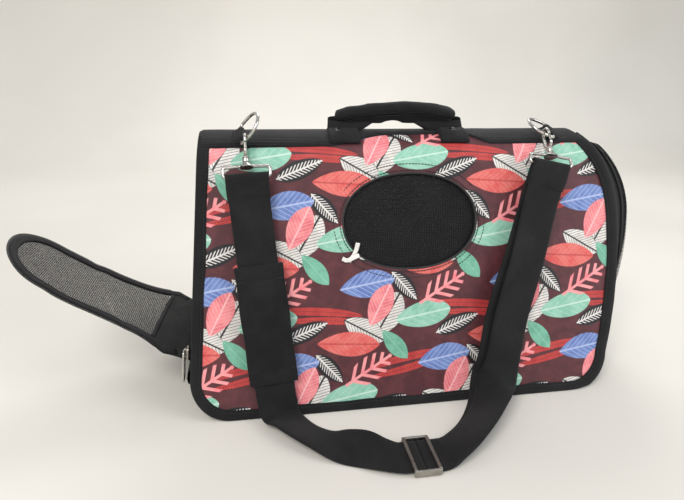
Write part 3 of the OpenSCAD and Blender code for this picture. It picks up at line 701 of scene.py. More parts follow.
class Graph:
    """Builds a material's nodes from Python expressions."""

    def __init__(self, name, color=(0.5, 0.5, 0.5), rough=0.6, **sockets):
        self.mat = bpy.data.materials.new(name)
        self.mat.use_nodes = True
        self.nt = self.mat.node_tree
        self.bsdf = self.nt.nodes["Principled BSDF"]
        self.bsdf.inputs["Base Color"].default_value = (*color, 1)
        self.bsdf.inputs["Roughness"].default_value = rough
        for k, v in sockets.items():
            key = k.replace("_", " ").title().replace("Ior", "IOR")
            sock = self.bsdf.inputs[key]
            sock.default_value = (*v, 1) if isinstance(v, tuple) and len(sock.default_value) == 4 else v
        self.mat.diffuse_color = (*color, 1)

    def node(self, kind, **props):
        n = self.nt.nodes.new(kind)
        for k, v in props.items():
            setattr(n, k, v)
        return n

    def put(self, sock, v):
        if isinstance(v, Val):
            self.nt.links.new(v.s, sock)
        elif isinstance(v, (tuple, list)) and len(v) == 3 and sock.type == "RGBA":
            sock.default_value = (*v, 1)
        else:
            sock.default_value = v

    def math(self, op, *args):
        n = self.node("ShaderNodeMath", operation=op)
        for s, a in zip(n.inputs, args):
            self.put(s, a)
        return Val(self, n.outputs[0])

    def split(self, v):
        n = self.node("ShaderNodeSeparateXYZ")
        self.put(n.inputs[0], v)
        return [Val(self, o) for o in n.outputs]

    def uv(self):
        n = self.node("ShaderNodeUVMap", uv_map="Cloth")
        return Val(self, n.outputs[0])

    def obj(self):
        return Val(self, self.node("ShaderNodeTexCoord").outputs["Object"])

    def noise(self, v, scale, detail=2.0, rough=0.5):
        n = self.node("ShaderNodeTexNoise")
        self.put(n.inputs["Vector"], v)
        for k, a in (("Scale", scale), ("Detail", detail), ("Roughness", rough)):
            n.inputs[k].default_value = a
        return Val(self, n.outputs[0])

    def ramp(self, x, lo, hi, a=0.0, b=1.0, smooth=True):
        n = self.node("ShaderNodeMapRange", interpolation_type="SMOOTHSTEP" if smooth else "LINEAR")
        for s, v in zip(("Value", "From Min", "From Max", "To Min", "To Max"), (x, lo, hi, a, b)):
            self.put(n.inputs[s], v)
        return Val(self, n.outputs[0])

    def mix(self, f, a, b):
        n = self.node("ShaderNodeMix", data_type="RGBA")
        self.put(n.inputs[0], f)
        self.put(n.inputs[6], a)
        self.put(n.inputs[7], b)
        return Val(self, n.outputs[2])

    def bump(self, h, dist, strength=1.0):
        n = self.node("ShaderNodeBump")
        n.inputs["Strength"].default_value = strength
        n.inputs["Distance"].default_value = dist
        self.put(n.inputs["Height"], h)
        self.nt.links.new(n.outputs[0], self.bsdf.inputs["Normal"])

    def color(self, v):
        self.put(self.bsdf.inputs["Base Color"], v)

    def rough(self, v):
        self.put(self.bsdf.inputs["Roughness"], v)

    def sine(self, x, period):
        return self.math("SINE", x * (2 * math.pi / period))


def srgb(h):
    """Linear colour from a hex string."""
    c = [int(h[i : i + 2], 16) / 255 for i in (1, 3, 5)]
    return tuple(v / 12.92 if v <= 0.04045 else ((v + 0.055) / 1.055) ** 2.4 for v in c)


def dusty(g, base, light, dark):
    """Cloth colour with slight wear and dust."""
    o = g.obj()
    n1 = g.noise(o, 35, 4, 0.6)
    n2 = g.noise(o, 315, 2, 0.6)
    c = g.mix(g.ramp(n1, 0.35, 0.75), base, light)
    return g.mix(g.ramp(n2, 0.55, 0.8, 0, 0.5), c, dark)


# ---- the leaf print
def print_material():
    """Leaves, ferns and feathers painted over a wine-red ground, in mm on the cloth."""
    g = Graph("leaf_print", rough=0.5, sheen_weight=0.15, sheen_roughness=0.4)
    u, v, _ = g.split(g.uv())
    x, y = u * 1000.0, v * 1000.0
    wash = g.noise(g.obj(), 90, 3, 0.6)
    fine = g.noise(g.obj(), 420, 2, 0.5)
    CX, CY = -41.4, 126.3  # middle of one blue leaf
    STEP_X, STEP_Y = 78.0, 79.0  # the cluster repeats in a half-drop: each row is shifted by STEP_X

    def local(dx, dy, deg, hl, hw, bend=0.0, rows=1):
        """Place within a leaf that lies dx, dy mm from the blue one: -1 to 1 along it and across it."""
        qx, qy = x - (CX + dx), y - (CY + dy)
        j = g.math("ROUND", qy / (STEP_Y * rows))
        qy = qy - j * (STEP_Y * rows)
        qx = qx - j * (STEP_X * rows)
        qx = qx - g.math("ROUND", qx / (2 * STEP_X)) * (2 * STEP_X)
        c, s = math.cos(math.radians(deg)), math.sin(math.radians(deg))
        lx = (qx * c + qy * s) / hl
        ly = (qy * c - qx * s) / hw
        if bend:
            ly = ly + lx * lx * bend - bend * 0.4
        return lx, ly

    def profile(lx, power=0.85, skew=0.15):
        """Half width of a leaf along its length."""
        body = g.math("MAXIMUM", 1.0 - lx * lx, 0.0) ** power
        return body * (1.0 + lx * skew)

    def comb(lx, ly, n, slope, shift=50.0):
        """Distance, in parts of the pitch, from a comb of n slanted lines per half length."""
        return abs(g.math("FRACT", (lx - abs(ly) * slope) * n + shift) - 0.5)

    def veins(lx, ly, n, slope, t0, t1):
        side = 1.0 - g.ramp(comb(lx, ly, n, slope), t0, t1)
        rib = 1.0 - g.ramp(abs(ly), 0.03, 0.09)
        return g.math("MAXIMUM", side, rib)

    col = g.mix(g.ramp(wash, 0.35, 0.7), srgb("#4a1f25"), srgb("#5b292e"))

    def paint(col, dx, dy, deg, hl, hw, main, vein, n=6, slope=0.35, tone=None, power=0.85, skew=0.15,
              line=(0.04, 0.1), edge=0.07, border=None, bend=0.0, vein_amount=1.0, rows=1):
        lx, ly = local(dx, dy, deg, hl, hw, bend, rows)
        p = profile(lx, power, skew)
        ins = p - abs(ly)
        body = g.mix(g.ramp(wash + fine * 0.25, 0.42, 0.78), srgb(main), srgb(tone or main))
        body = g.mix(veins(lx, ly, n, slope, *line) * vein_amount, body, srgb(vein))
        if border:
            body = g.mix(1.0 - g.ramp(ins, 0.03, 0.1), body, srgb(border))
        return g.mix(g.ramp(ins, 0.0, edge), col, body)

    # dark red ferns, two long hatched strokes
    for dx, dy, deg, hl, hw, bend in ((-58, -25.5, -4, 52, 4.1, 0.9), (-44, -34.5, -4, 38, 3.8, 0.3),
                                      (38, -77.5, 10, 41, 4.1, 0.6), (37, -87.5, 12, 37, 3.9, -0.3)):
        col = paint(col, dx, dy, deg, hl, hw, "#c03030", "#5d262b", n=hl * 0.36, slope=0.11, tone="#d2433c",
            power=0.5, line=(0.13, 0.22), bend=bend, vein_amount=0.85, rows=2)
    # white leaves with black veins
    col = paint(col, 20, -31, 58, 25, 15.5, "#e2ded8", "#18161a", n=6.5, slope=0.6, tone="#cdc8c2",
        line=(0.055, 0.105), border="#201d20", power=0.75)
    col = paint(col, -4.5, -46, -30, 23, 12.5, "#e2ded8", "#18161a", n=6.5, slope=0.55, tone="#cdc9c3",
        line=(0.055, 0.105), border="#201d20", power=0.7)
    # coral-red leaf
    col = paint(col, -20.5, -59, -4, 32, 12.8, "#d3524f", "#b03a3c", n=5.5, slope=0.45, tone="#dc736b",
        line=(0.02, 0.07), vein_amount=0.75)
    # mint leaf
    col = paint(col, 57, -33.5, 9, 29, 13.5, "#7bb59c", "#cfe3d8", n=3, slope=0.7, tone="#93c4b0",
        line=(0.0, 0.05), vein_amount=0.7, power=0.6)
    # small green leaf
    col = paint(col, 26.5, -62.5, -50, 20, 9, "#609f87", "#8fc4ad", n=5, slope=0.5, tone="#76b49b",
        line=(0.0, 0.06), vein_amount=0.6)
    # black feathers with white barbs
    for dx, dy, deg, hl, hw in ((92.5, -45, 21, 24.5, 9.6), (37.5, -3.5, -49, 19.5, 9.6)):
        lx, ly = local(dx, dy, deg, hl, hw)
        p = profile(lx, 0.7, -0.1)
        ins = p - abs(ly)
        barb = g.ramp(comb(lx, ly, 6.5, 0.4), 0.27, 0.34)
        reach = g.ramp(p * 0.64 - abs(ly), 0.0, 0.08)
        rib = 1.0 - g.ramp(abs(ly), 0.05, 0.12)
        white = g.math("MAXIMUM", barb, rib) * reach
        col = g.mix(g.ramp(ins, 0.0, 0.12), col, srgb("#17151a"))
        col = g.mix(white, col, srgb("#dcd8d4"))
    # pink coral branch
    lx, ly = local(77, -8, 31, 27, 14)
    p = profile(lx, 0.6, 0.1)
    lobe = 1.0 - g.ramp(comb(lx, ly, 2.4, 0.5, 50.2), 0.17, 0.23)
    stem = 1.0 - g.ramp(abs(ly), 0.07, 0.13)
    m = g.math("MAXIMUM", lobe * g.ramp(p - abs(ly), 0.0, 0.12), stem * g.ramp(1.05 - abs(lx), 0, 0.05))
    col = g.mix(m, col, g.mix(g.ramp(wash, 0.4, 0.7), srgb("#ef9a9c"), srgb("#e7767e")))
    # blue leaf, then the pink leaf over it
    col = paint(col, 0, 0, 9, 28.5, 14, "#5a70ab", "#a8b6dc", n=4.4, slope=0.6, tone="#7087bd",
        line=(0.035, 0.085))
    col = paint(col, 12.5, -21.5, 62, 23.5, 12.5, "#d66a73", "#f0b4b6", n=5.5, slope=0.5, tone="#ea8c8f",
        line=(0.02, 0.075))
    g.color(col)
    # woven ground of the laminated cloth
    weave = g.sine(x, 0.9) * g.sine(y, 0.9)
    slow = g.noise(g.obj(), 14, 2, 0.5)
    g.bump(weave * 0.06 + slow * 2.2, 0.0011, 0.55)
    g.rough(g.ramp(fine, 0.3, 0.7, 0.42, 0.56))
    return g.mat


def weave_material(name, base, light, dark, rough=0.8, period=0.7, height=0.0002, wrinkle=0.0, sheen=0.25):
    g = Graph(name, base, rough, sheen_weight=sheen * 0.3, sheen_roughness=0.45, specular_ior_level=0.2)
    g.color(dusty(g, base, light, dark))
    u, v, _ = g.split(g.uv())
    x, y = u * 1000.0, v * 1000.0
    h = g.sine(x, period) * g.sine(y, period)
    if wrinkle:
        h = h * 0.5 + g.noise(g.obj(), 60, 3, 0.55) * wrinkle
    g.bump(h, height, 0.8)
    return g.mat


def rib_material(name, base, light, dark, rib=1.5, along=True, rough=0.75, height=0.0004, yarn=1.1):
    """Webbing or grosgrain: ribs across the run with yarns laid over and under, their grooves darkened as painted
    shade.
    """
    g = Graph(name, base, rough, sheen_weight=0.06, sheen_roughness=0.5, specular_ior_level=0.2)
    u, v, _ = g.split(g.uv())
    x, y = (u * 1000.0, v * 1000.0) if along else (v * 1000.0, u * 1000.0)
    row = g.math("FLOOR", y / rib)
    ribs = abs(g.sine(y, 2 * rib)) ** 0.6
    yarns = abs(g.math("SINE", (x / yarn + row * 0.5) * math.pi)) ** 0.7
    h = ribs * (yarns * 0.5 + 0.5)
    c = dusty(g, base, light, dark)
    # painted shade: where the rib height is low, in the grooves between ribs and yarns, the colour is darkened towards
    # a third of the base
    g.color(g.mix(g.ramp(h, 0.1, 0.8, 0.55, 0.0), c, tuple(k * 0.35 for k in base)))
    g.bump(h, height, 0.8)
    return g.mat


def net_material(name, base, pitch=1.7, thread=0.5, see=1.0):
    """Square net: threads with holes; with see below 1 the holes keep part of the net's dark colour, a painted shade
    of the inside behind them.
    """
    g = Graph(name, base, 0.65, specular_ior_level=0.25)
    u, v, _ = g.split(g.uv())
    x, y = u * 1000.0, v * 1000.0
    fx = abs(g.math("FRACT", x / pitch + 100.0) - 0.5)
    fy = abs(g.math("FRACT", y / pitch + 100.0) - 0.5)
    k = thread / pitch / 2
    wx, wy = 1.0 - g.ramp(fx, k, k + 0.06), 1.0 - g.ramp(fy, k, k + 0.06)
    t = g.math("MAXIMUM", wx, wy)
    g.bump(t, 0.0004, 0.8)
    g.color(dusty(g, base, tuple(c * 1.8 for c in base), tuple(c * 0.6 for c in base)))
    # painted shade: below full see-through the holes are partly filled with the net's dark colour instead of showing
    # the inside
    g.put(g.bsdf.inputs["Alpha"], g.ramp(t, 0.0, 1.0, 1.0 - see, 1.0, False))
    return g.mat


def metal_material(name, base, rough):
    scratch = 0.12  # how far scratches move the roughness
    g = Graph(name, base, rough, metallic=1.0)
    o = g.obj()
    n1, n2 = g.noise(o, 260, 4, 0.65), g.noise(o, 60, 3, 0.6)
    g.color(g.mix(g.ramp(n2, 0.45, 0.75, 0, 0.7), base, tuple(c * 0.62 for c in base)))
    g.rough(g.ramp(n1 * 0.6 + n2 * 0.4, 0.3, 0.7, max(0.05, rough - scratch), rough + scratch))
    g.bump(n1, 0.00006, 0.4)
    return g.mat


def plastic_material(name, base, rough):
    g = Graph(name, base, rough)
    n1 = g.noise(g.obj(), 180, 3, 0.6)
    g.rough(g.ramp(n1, 0.3, 0.7, rough - 0.08, rough + 0.1))
    g.bump(n1, 0.00005, 0.3)
    return g.mat


BLACK, BLACK_UP, BLACK_DOWN = srgb("#161617"), srgb("#212122"), srgb("#0c0c0d")
M_PRINT = print_material()
M_CLOTH = weave_material("black_cloth", BLACK, BLACK_UP, BLACK_DOWN, 0.82, 0.75, 0.00022, 0.5)
M_PAD = weave_material("pad_cloth", BLACK, BLACK_UP, BLACK_DOWN, 0.85, 0.8, 0.00025, 0.9)
M_LINING = weave_material("lining", srgb("#121213"), srgb("#1a1a1b"), srgb("#0a0a0b"), 0.8, 0.6, 0.00015,
    0.3, 0.05)
M_GLOSS = weave_material("dome_cloth", srgb("#141415"), srgb("#1d1d1f"), srgb("#0a0a0b"), 0.42, 0.8,
    0.00018, 0.6, 0.1)
M_WEB = rib_material("webbing", BLACK, BLACK_UP, BLACK_DOWN, 1.25, True, 0.72)
M_RIDGE = rib_material("ridge_webbing", srgb("#18181a"), srgb("#252527"), BLACK_DOWN, 1.9, False, 0.7,
    0.0007)
M_BIND = rib_material("binding_tape", srgb("#161618"), srgb("#212123"), BLACK_DOWN, 0.9, True, 0.74,
    0.00025, 0.8)
# the window net's holes are half filled with its dark colour: painted shade of the bag's dark inside seen through them
M_NET = net_material("window_net", srgb("#0f0f10"), 1.9, 0.9, 0.5)
M_DOOR_NET = net_material("door_net", srgb("#1c1c1d"), 1.8, 0.56, 1.0)
M_THREAD = Graph("black_thread", srgb("#222224"), 0.6).mat
M_RIBBON = weave_material("white_ribbon", srgb("#e4e1da"), srgb("#f0eee9"), srgb("#cfcac1"), 0.5, 0.5,
    0.00012, 0.2)
M_STEEL = metal_material("nickel", srgb("#c9c6bf"), 0.26)
M_DARK_STEEL = metal_material("worn_nickel", srgb("#a39f97"), 0.36)
M_GUN = metal_material("gunmetal", srgb("#5c5a57"), 0.34)
M_ZIP = plastic_material("zip_coil", srgb("#151517"), 0.32)
M_BOARD = weave_material("board", srgb("#57514a"), srgb("#655f57"), srgb("#463f39"), 0.85, 1.2, 0.0003, 0.6,
    0.0)
M_MAT = weave_material("fleece_mat", srgb("#8e8a84"), srgb("#a29e97"), srgb("#77736d"), 0.95, 1.6, 0.0006,
    1.4, 0.5)
M_PIPE = plastic_material("piping", srgb("#161618"), 0.22)

# ------------------------------------------------------------------ printed panels
TOP_S = S_TOP - 1.5
WX, WS, WA, WB = 4.0, 187.0, 69.0, 48.0  # window: centre and half axes


def oval(a, b):
    """The window's outline, slightly squarer than an ellipse."""
    power = 0.92
    return [(WX + a * squared(math.cos(t), power), WS + b * squared(math.sin(t), power)) for t in turns(72)]


def oval_d(x, s):
    """Rough distance in mm outside the window's edge."""
    k = math.hypot((x - WX) / WA, (s - WS) / WB)
    return (k - 1) * (WA * WB) ** 0.5


def swell(x, s):
    """Slight waviness of the stiffened cloth, with the stitched groove round the window."""
    d = oval_d(x, s)
    edge = min(1, max(0, (min(s - 6, 250 - s, x + 212, 218 - x)) / 30))
    w = 1.3 * edge * fuzz(x, s, 0, 90, 3.1) + 0.35 * edge * fuzz(x, s, 4, 30, 1.7)
    groove = -0.55 * math.exp(-((d - 8.5) / 1.6) ** 2)
    lip = 0.5 * math.exp(-((d - 3.5) / 3.0) ** 2)
    return w + (groove + lip if d > -1 else 0)


def panel_outline():
    pts = [(x, s_of_z(z)) for x, z in outline(0.8, 250)]
    return pts + [(right_x(259) - 0.8, s_of_z(259)), (right_x(261.4) - 1, TOP_S),
        (left_x(261) + 0.8, TOP_S)]


for side in (1, -1):
    def put(a, b, n, side=side):
        return on_panel(side, a, b, n + (swell(a, b) if n > -1 else 0))

    def put_net(a, b, n, side=side):
        """The net hangs a little deeper in the middle of the window."""
        middle = max(0, 1 - max(0, oval_d(a, b) + 60) / 60)
        return on_panel(side, a, b, n - 3.3 - middle**2)

    which = "front" if side == 1 else "back"
    ob = skin(f"{which}_panel_cloth", panel_outline(), [oval(WA, WB)], 6.5, put, T - 0.1,
        [M_PRINT, M_LINING],
              uv=lambda a, b, side=side: (a * side * MM, b * MM))
    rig.ride(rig.slot(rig.replaces(ob, f"{which}_panel"), "printed_fabric"), "shell")

    net = skin(f"{which}_window_net", oval(WA + 9, WB + 9), [], 5, put_net, 0.5, M_NET)
    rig.ride(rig.slot(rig.replaces(net, f"{which}_window_mesh"), "mesh_fabric"), "shell")

    # turned edge of the window and its two stitch lines
    rim = [on_panel(side, a, b, -1.4) for a, b in oval(WA - 0.6, WB - 0.6)]
    nrm = (0, -CL * side, SL)
    ob = tube(f"{which}_window_rim", rim, 1.3, M_THREAD, up=nrm, sides=8, closed=True, squashed=1.7)
    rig.ride(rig.slot(ob, "black_fabric"), "shell")
    for k, (d, n0) in enumerate(((8.5, -0.1), (2.2, 0.5))):
        line = oval(WA + d, WB + d)
        line.append(line[0])
        path = [on_panel(side, a, b, n0 + swell(a, b) * 0.9) for a, b in line]
        if k == 0 or side == 1:
            ob = stitches(f"{which}_window_stitch_{k + 1}", path, [nrm] * len(path), M_THREAD, 3.3, 2.9,
                0.42, 0.1)
            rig.ride(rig.slot(ob, "black_fabric"), "shell")


# ------------------------------------------------------------------ edge binding
def binding(which, side):
    """The puckered tape folded over the panel's edge, with its stitches."""
    def profile(p, run):
        low, right = part_of(p[1], 0, 6), part_of(p[0], 150, 200)
        w = 10.0 + 0.35 * math.sin(run / 13.0) + 0.5 * fuzz(run, 0, 0, 25, side)
        puck = 0.28 * fuzz(run, 5, 0, 5.5, 2 + side)
        wrap = -0.9 * low + 0.25 * (1 - low) - 2.6 * right * low
        outside = [(w, 0.25), (w - 0.3, 1.15 + puck), (w - 2.0, 1.25 + puck), (w - 2.6, 1.05)]
        outside += [(w - 3.2, 1.35 + puck), (w / 2, 1.6 + puck), (1.6, 1.5), (0.3 + wrap * 0.6, 0.9)]
        edge = [(wrap, -0.6), (wrap, -T + 0.8), (0.4 + wrap * 0.5, -T - 0.7)]
        return outside + edge + [(2.0, -T - 1.2), (8.0, -T - 1.1), (8.6, -T - 0.4)]

    def laid(x, z, n):
        q = on_panel(side, x, s_of_z(max(0.0, z)), n)
        return (q[0], q[1], max(0.15, q[2]))

    path = resample([(x, z) for x, z in outline(0, 259)], 4.0)
    rows, uvs, lines = folded(path, profile, laid, -1, (2.5, 1.12))
    ob = grid(f"{which}_edge_binding", rows, M_BIND, False, False, uvs, False)
    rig.ride(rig.slot(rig.replaces(ob, f"{which}_binding"), "binding_tape"), "shell")
    normals = [(0, -CL * side, SL)] * len(lines)
    ob = stitches(f"{which}_binding_stitch", lines, normals, M_THREAD, 3.4, 2.4, 0.3, 0.15)
    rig.ride(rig.slot(ob, "binding_tape"), "shell")


binding("front", 1)
binding("back", -1)

# ------------------------------------------------------------------ ridge webbing
def band_edge(f, front=True):
    """Front edge of the ridge's webbing; the handle pulls it up between its ends."""
    x = -197 + 385 * f
    pull = 15.5 * smooth_part(x, -80, -12) * smooth_part(x, 84, 58) if front else 0
    return 261.0 + 3.0 * f + pull


ACROSS = 26
rows, uvs = [], []
for f in np.linspace(0, 1, 110):
    row = []
    for j in range(ACROSS + 1):
        front_s, back_s = band_edge(f), 2 * S_TOP - band_edge(f, False)
        s = front_s + (back_s - front_s) * j / ACROSS
        top_z = shell(0, s, 0)[2]
        x0, x1 = left_x(top_z) - 0.6, right_x(top_z) + 0.6
        x = x0 + (x1 - x0) * f
        n = 1.5 + 0.18 * fuzz(x, s, 0, 26, 4.4) + (0.25 if 0 < j < ACROSS else -1.2)
        if f in (0.0, 1.0):
            n -= 1.6
        row.append(shell(x, s, n))
        uvs.append((s * MM, x * MM))
    rows.append(row)
ob = grid("ridge_band", rows, M_RIDGE, uvs=uvs)
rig.ride(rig.slot(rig.replaces(ob, "ridge_webbing"), "black_webbing"), "shell")
for side in (1, -1):
    for inset in (2.2, 5.0):
        path = []
        for f in np.linspace(0.01, 0.985, 60):
            s = band_edge(f, side > 0) + inset
            z = shell(0, s, 0)[2]
            x = left_x(z) + (right_x(z) - left_x(z)) * f
            path.append(on_panel(side, x, s, 1.8))
        name = f"ridge_stitch_{'front' if side > 0 else 'back'}_{int(inset)}"
        ob = stitches(name, path, [(0, -0.8 * side, 0.6)] * len(path), M_THREAD, 3.4, 2.5, 0.3, 0.1)
        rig.ride(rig.slot(ob, "black_webbing"), "shell")

# white ribbon tag caught in the window's stitching
RIBBON_ENDS = (
    ([(-50.5, 161.5), (-52.0, 155.5), (-55.0, 149.5), (-60.0, 144.2)], (0.75, 0.1, -0.65), 4.6),
    ([(-66.5, 147.5), (-61.5, 145.4), (-55.0, 147.8), (-49.5, 149.8)], (0.15, 0.25, 0.95), 4.2),
)
for k, (pts, across, w) in enumerate(RIBBON_ENDS):
    st = []
    for i, (x, z) in enumerate(pts):
        lift = 1.1 + 0.9 * k + (1.6 if i == 0 else 0.2 * i)
        st.append((shell(x, z / CL, lift), across))
    ob, _ = band(f"ribbon_tag_{k + 1}", st, w, 0.35, M_RIBBON, 5, across=4)
    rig.ride(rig.slot(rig.replaces(ob, "window_tag"), "white_ribbon"), "shell")

# ------------------------------------------------------------------ base: floor cloth, board, mat
def lining_point(q):
    """The same point of the floor's lining, a cloth thickness further in."""
    x, y, z = q
    gap = 1.9
    inward = gap if x < CORNER_L else -gap if x > CORNER_X else 0
    return (x + inward * (1 - (CORNER_R - min(CORNER_R, z)) / CORNER_R * 0.5), y,
        z + gap * min(1, (40 - z) / 40))


rows, uvs = [], []
path = resample(base_corners(37.6, 14), 7.0)
run = 0.0
for i, p in enumerate(path):
    if i:
        run += float(np.linalg.norm(p - path[i - 1]))
    half = side_y(T, max(0, p[1])) + 0.6
    row = []
    for k in np.linspace(-1, 1, 25):
        hump = 0.5 * (1 - k * k) * (0.5 + fuzz(p[0], k * 90, 0, 60, 6)) if p[1] < 2 else 0
        row.append((p[0], half * k, max(0.25, p[1]) + hump))
        uvs.append((half * k * MM, run * MM))
    rows.append(row)
ob = grid("floor_cloth", rows, M_CLOTH, uvs=uvs)
lining = grid("floor_lining", [[lining_point(q) for q in r] for r in rows], M_LINING, uvs=uvs)
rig.ride(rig.slot(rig.replaces(ob, "floor_panel"), "black_fabric"), "shell")
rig.ride(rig.slot(lining, "black_fabric"), "shell")


QUILT_STEP = 48  # between the mat's stitched rows


def rounded_slab(name, cx, cy, z0, lx, ly, t, r, mat, quilt=0.0, edge=2.0):
    """A flat slab with round corners and soft edges, crowned and quilted on top."""
    rows = []
    n = 64
    prof = [(-edge * 1.2, 0.0), (-0.3 * edge, 0.06 * t), (0.0, 0.3 * t)]
    prof += [(a, t - b) for a, b in prof[::-1]]
    for d, z in prof:
        ring = []
        for a in turns(n):
            c, s = math.cos(a), math.sin(a)
            m = max(abs(c), abs(s))
            sx, sy = c / m, s / m
            hx, hy = lx / 2 + d, ly / 2 + d
            x, y = hx * sx, hy * sy
            kx, ky = hx - r, hy - r
            if abs(x) > kx and abs(y) > ky:
                vx, vy = abs(x) - kx, abs(y) - ky
                q = math.hypot(vx, vy)
                x = math.copysign(kx + vx / q * r, x)
                y = math.copysign(ky + vy / q * r, y)
            ring.append((cx + x, cy + y, z0 + z))
        rows.append(ring)
    verts = [p for r_ in rows for p in r_]
    uvs = [(p[0] * MM, p[1] * MM) for p in verts]
    faces = []
    for i in range(len(rows) - 1):
        for j in range(n):
            faces.append((i * n + j, i * n + (j + 1) % n, (i + 1) * n + (j + 1) % n, (i + 1) * n + j))
    # top and bottom as shrinking rings
    for base_row, z in ((len(rows) - 1, t), (0, 0.0)):
        prev = base_row * n
        for k in range(1, 13):
            f = 1 - k / 13
            start = len(verts)
            for j in range(n):
                p = verts[base_row * n + j]
                x, y = cx + (p[0] - cx) * f, cy + (p[1] - cy) * f
                q = 0.0
                if z > 0 and quilt:
                    row_x = abs(math.sin(math.pi * (x - cx) / QUILT_STEP)) ** 0.4
                    row_y = abs(math.sin(math.pi * (y - cy + QUILT_STEP / 2) / QUILT_STEP)) ** 0.4
                    q = quilt * row_x * row_y - quilt
                    q *= min(1, k / 2)
                verts.append((x, y, z0 + z + q))
                uvs.append((x * MM, y * MM))
            for j in range(n):
                faces.append((prev + j, prev + (j + 1) % n, start + (j + 1) % n, start + j))
            prev = start
        faces.append(tuple(prev + j for j in range(n)))
    ob = make(name, verts, faces, mat, uvs)
    return fix_normals(ob)


ob = rounded_slab("stiffening_board", 0.5, 0, 2.6, 353, 183, 3.9, 12, M_BOARD, 0, 0.8)
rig.ride(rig.slot(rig.replaces(ob, "base_board"), "board"), "shell")
ob = rounded_slab("fleece_mat", 0.5, 0, 6.6, 370, 177, 7.9, 14, M_MAT, 1.6, 3.4)
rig.padded(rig.ride(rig.slot(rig.replaces(ob, "floor_mat"), "mat_fleece"), "shell"), 0.5)

# ------------------------------------------------------------------ open end: tape, coil, sill
DOOR_RISE = math.radians(31)  # the open door's slope above the level
M_END = Matrix.Translation((left_x(HINGE_Z), 0, HINGE_Z)) @ Matrix.Rotation(END_LEAN, 4, "Y")
DOOR_TURN = DOOR_RISE - math.pi / 2 - END_LEAN
M_DOOR = M_END @ Matrix.Translation((-4, 0, 0)) @ Matrix.Rotation(DOOR_TURN, 4, "Y")


def arch_line(d, u0):
    """The end's arch at depth d inside the skin, as (y, u) above the hinge line.

    It runs from the front foot over the top to the back foot.
    """
    pts = [(-side_y(d, z), z - HINGE_Z) for z in np.linspace(HINGE_Z + u0, S0 * CL, 24)]
    a0 = math.pi - LEAN
    for a in np.linspace(a0, math.pi - a0, 26)[1:-1]:
        pts.append(((R - d) * math.cos(a), ZC - HINGE_Z + (R - d) * math.sin(a)))
    pts += [(-y, u) for y, u in reversed(pts[:24])]
    return resample(pts, 4.0)


def end_point(y, u, x):
    return at(M_END, (x, y, u))


half = 4.7
tape = [(-half, 0.5), (-half + 0.4, -0.3), (-1.6, -0.5), (-1.0, 0.0), (1.2, 0.1), (1.6, -0.4)]
tape += [(half - 0.6, -0.4), (half, 0.4), (half - 0.5, 1.1), (-half + 0.5, 1.1)]
rows, uvs, _ = folded(arch_line(8.3, -12), lambda p, run: tape, end_point)
ob = grid("door_frame_tape", rows, M_BIND, False, True, uvs, True)
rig.ride(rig.slot(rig.replaces(ob, "left_zip_tape"), "black_webbing"), "shell")

TOOTH_FACES = [(0, 1, 2, 3), (4, 7, 6, 5), (0, 4, 5, 1), (1, 5, 6, 2), (2, 6, 7, 3), (3, 7, 4, 0)]


def coil(name, line, place):
    """Half of a moulded coil zip: one tapered bead per tooth along a line."""
    pitch, w = 1.5, 2.4
    foot = ((-0.42, -0.5, 0.5), (0.42, -0.5, 0.5), (0.42, 0.5, 0.38), (-0.42, 0.5, 0.38))
    pts = resample(line, pitch)
    parts = []
    for a, b in zip(pts, pts[1:]):
        t = unit(b - a)
        across = np.array([t[1], -t[0]])
        c = (a + b) / 2
        v = []
        for up in (-1, 1):
            for du, dn, dx in foot:
                v.append(place(*(c + t * du * pitch + across * dn * w), up * dx))
        parts.append((v, TOOTH_FACES))
    return join_parts(name, parts, M_ZIP)


line = arch_line(7.2, 6)
ob = coil("door_frame_coil", line, lambda y, u, x: end_point(y, u, x - 1.0))
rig.ride(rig.slot(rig.replaces(ob, "left_zip_chain"), "zip_plastic"), "shell")

# fabric sill under the door's hinge line, with a bound top edge
rows, uvs = [], []
for u in np.linspace(-14.5, -1.9, 7):
    w = side_y(T, HINGE_Z + u) - 0.5
    belly = 1.6 * math.sin(math.pi * (u + 14.5) / 13.6) ** 0.7
    row = []
    for k in np.linspace(-1, 1, 33):
        row.append(end_point(w * k, u, -2.2 - belly + 0.5 * fuzz(w * k, u, 0, 20, 8)))
        uvs.append((w * k * MM, u * MM))
    rows.append(row)
back_rows = [[(q[0] + 3.4, q[1], q[2]) for q in r] for r in rows]
ob = grid("door_sill_cloth", rows + back_rows[::-1], M_CLOTH, True, False, uvs + uvs[::-1])
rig.ride(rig.slot(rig.replaces(ob, "door_sill"), "black_fabric"), "shell")
for u in (-2.6, -11.5):
    w = side_y(T, HINGE_Z + u) - 2
    path = [end_point(w * k, u, -4.2 if u < -5 else -3.1) for k in np.linspace(-1, 1, 30)]
    ob = stitches(f"sill_stitch_{'a' if u > -5 else 'b'}", path, [(-1, 0, 0)] * 30, M_THREAD, 3.4, 2.4, 0.3,
        0.1)
    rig.ride(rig.slot(ob, "black_fabric"), "shell")

# ------------------------------------------------------------------ mesh door
DLEN, TIP_R = 202.0, 46.0
TIP_C = DLEN - TIP_R


def door_half(u):
    """Half width of the door, u mm up from its hinge."""
    if u < 26:
        return 65.0 + 4.6 * (max(0.0, u) / 26) ** 2
    return 48 + 22.32 * math.exp(-(u - 26) / 24)


def door_outline(d):
    left = [(-65 + d, 0.8 + d), (-door_half(13) + d, 13.0), (-door_half(20) + d, 20.0)]
    left += [(-door_half(u) + d, u) for u in np.arange(26.5, TIP_C - 16, 9.0)]
    left += [(q[0], q[1] + TIP_C) for q in arc((0, 0), TIP_R - d, 170, 92, 16)]
    return left + [(-a, b) for a, b in reversed(left)]


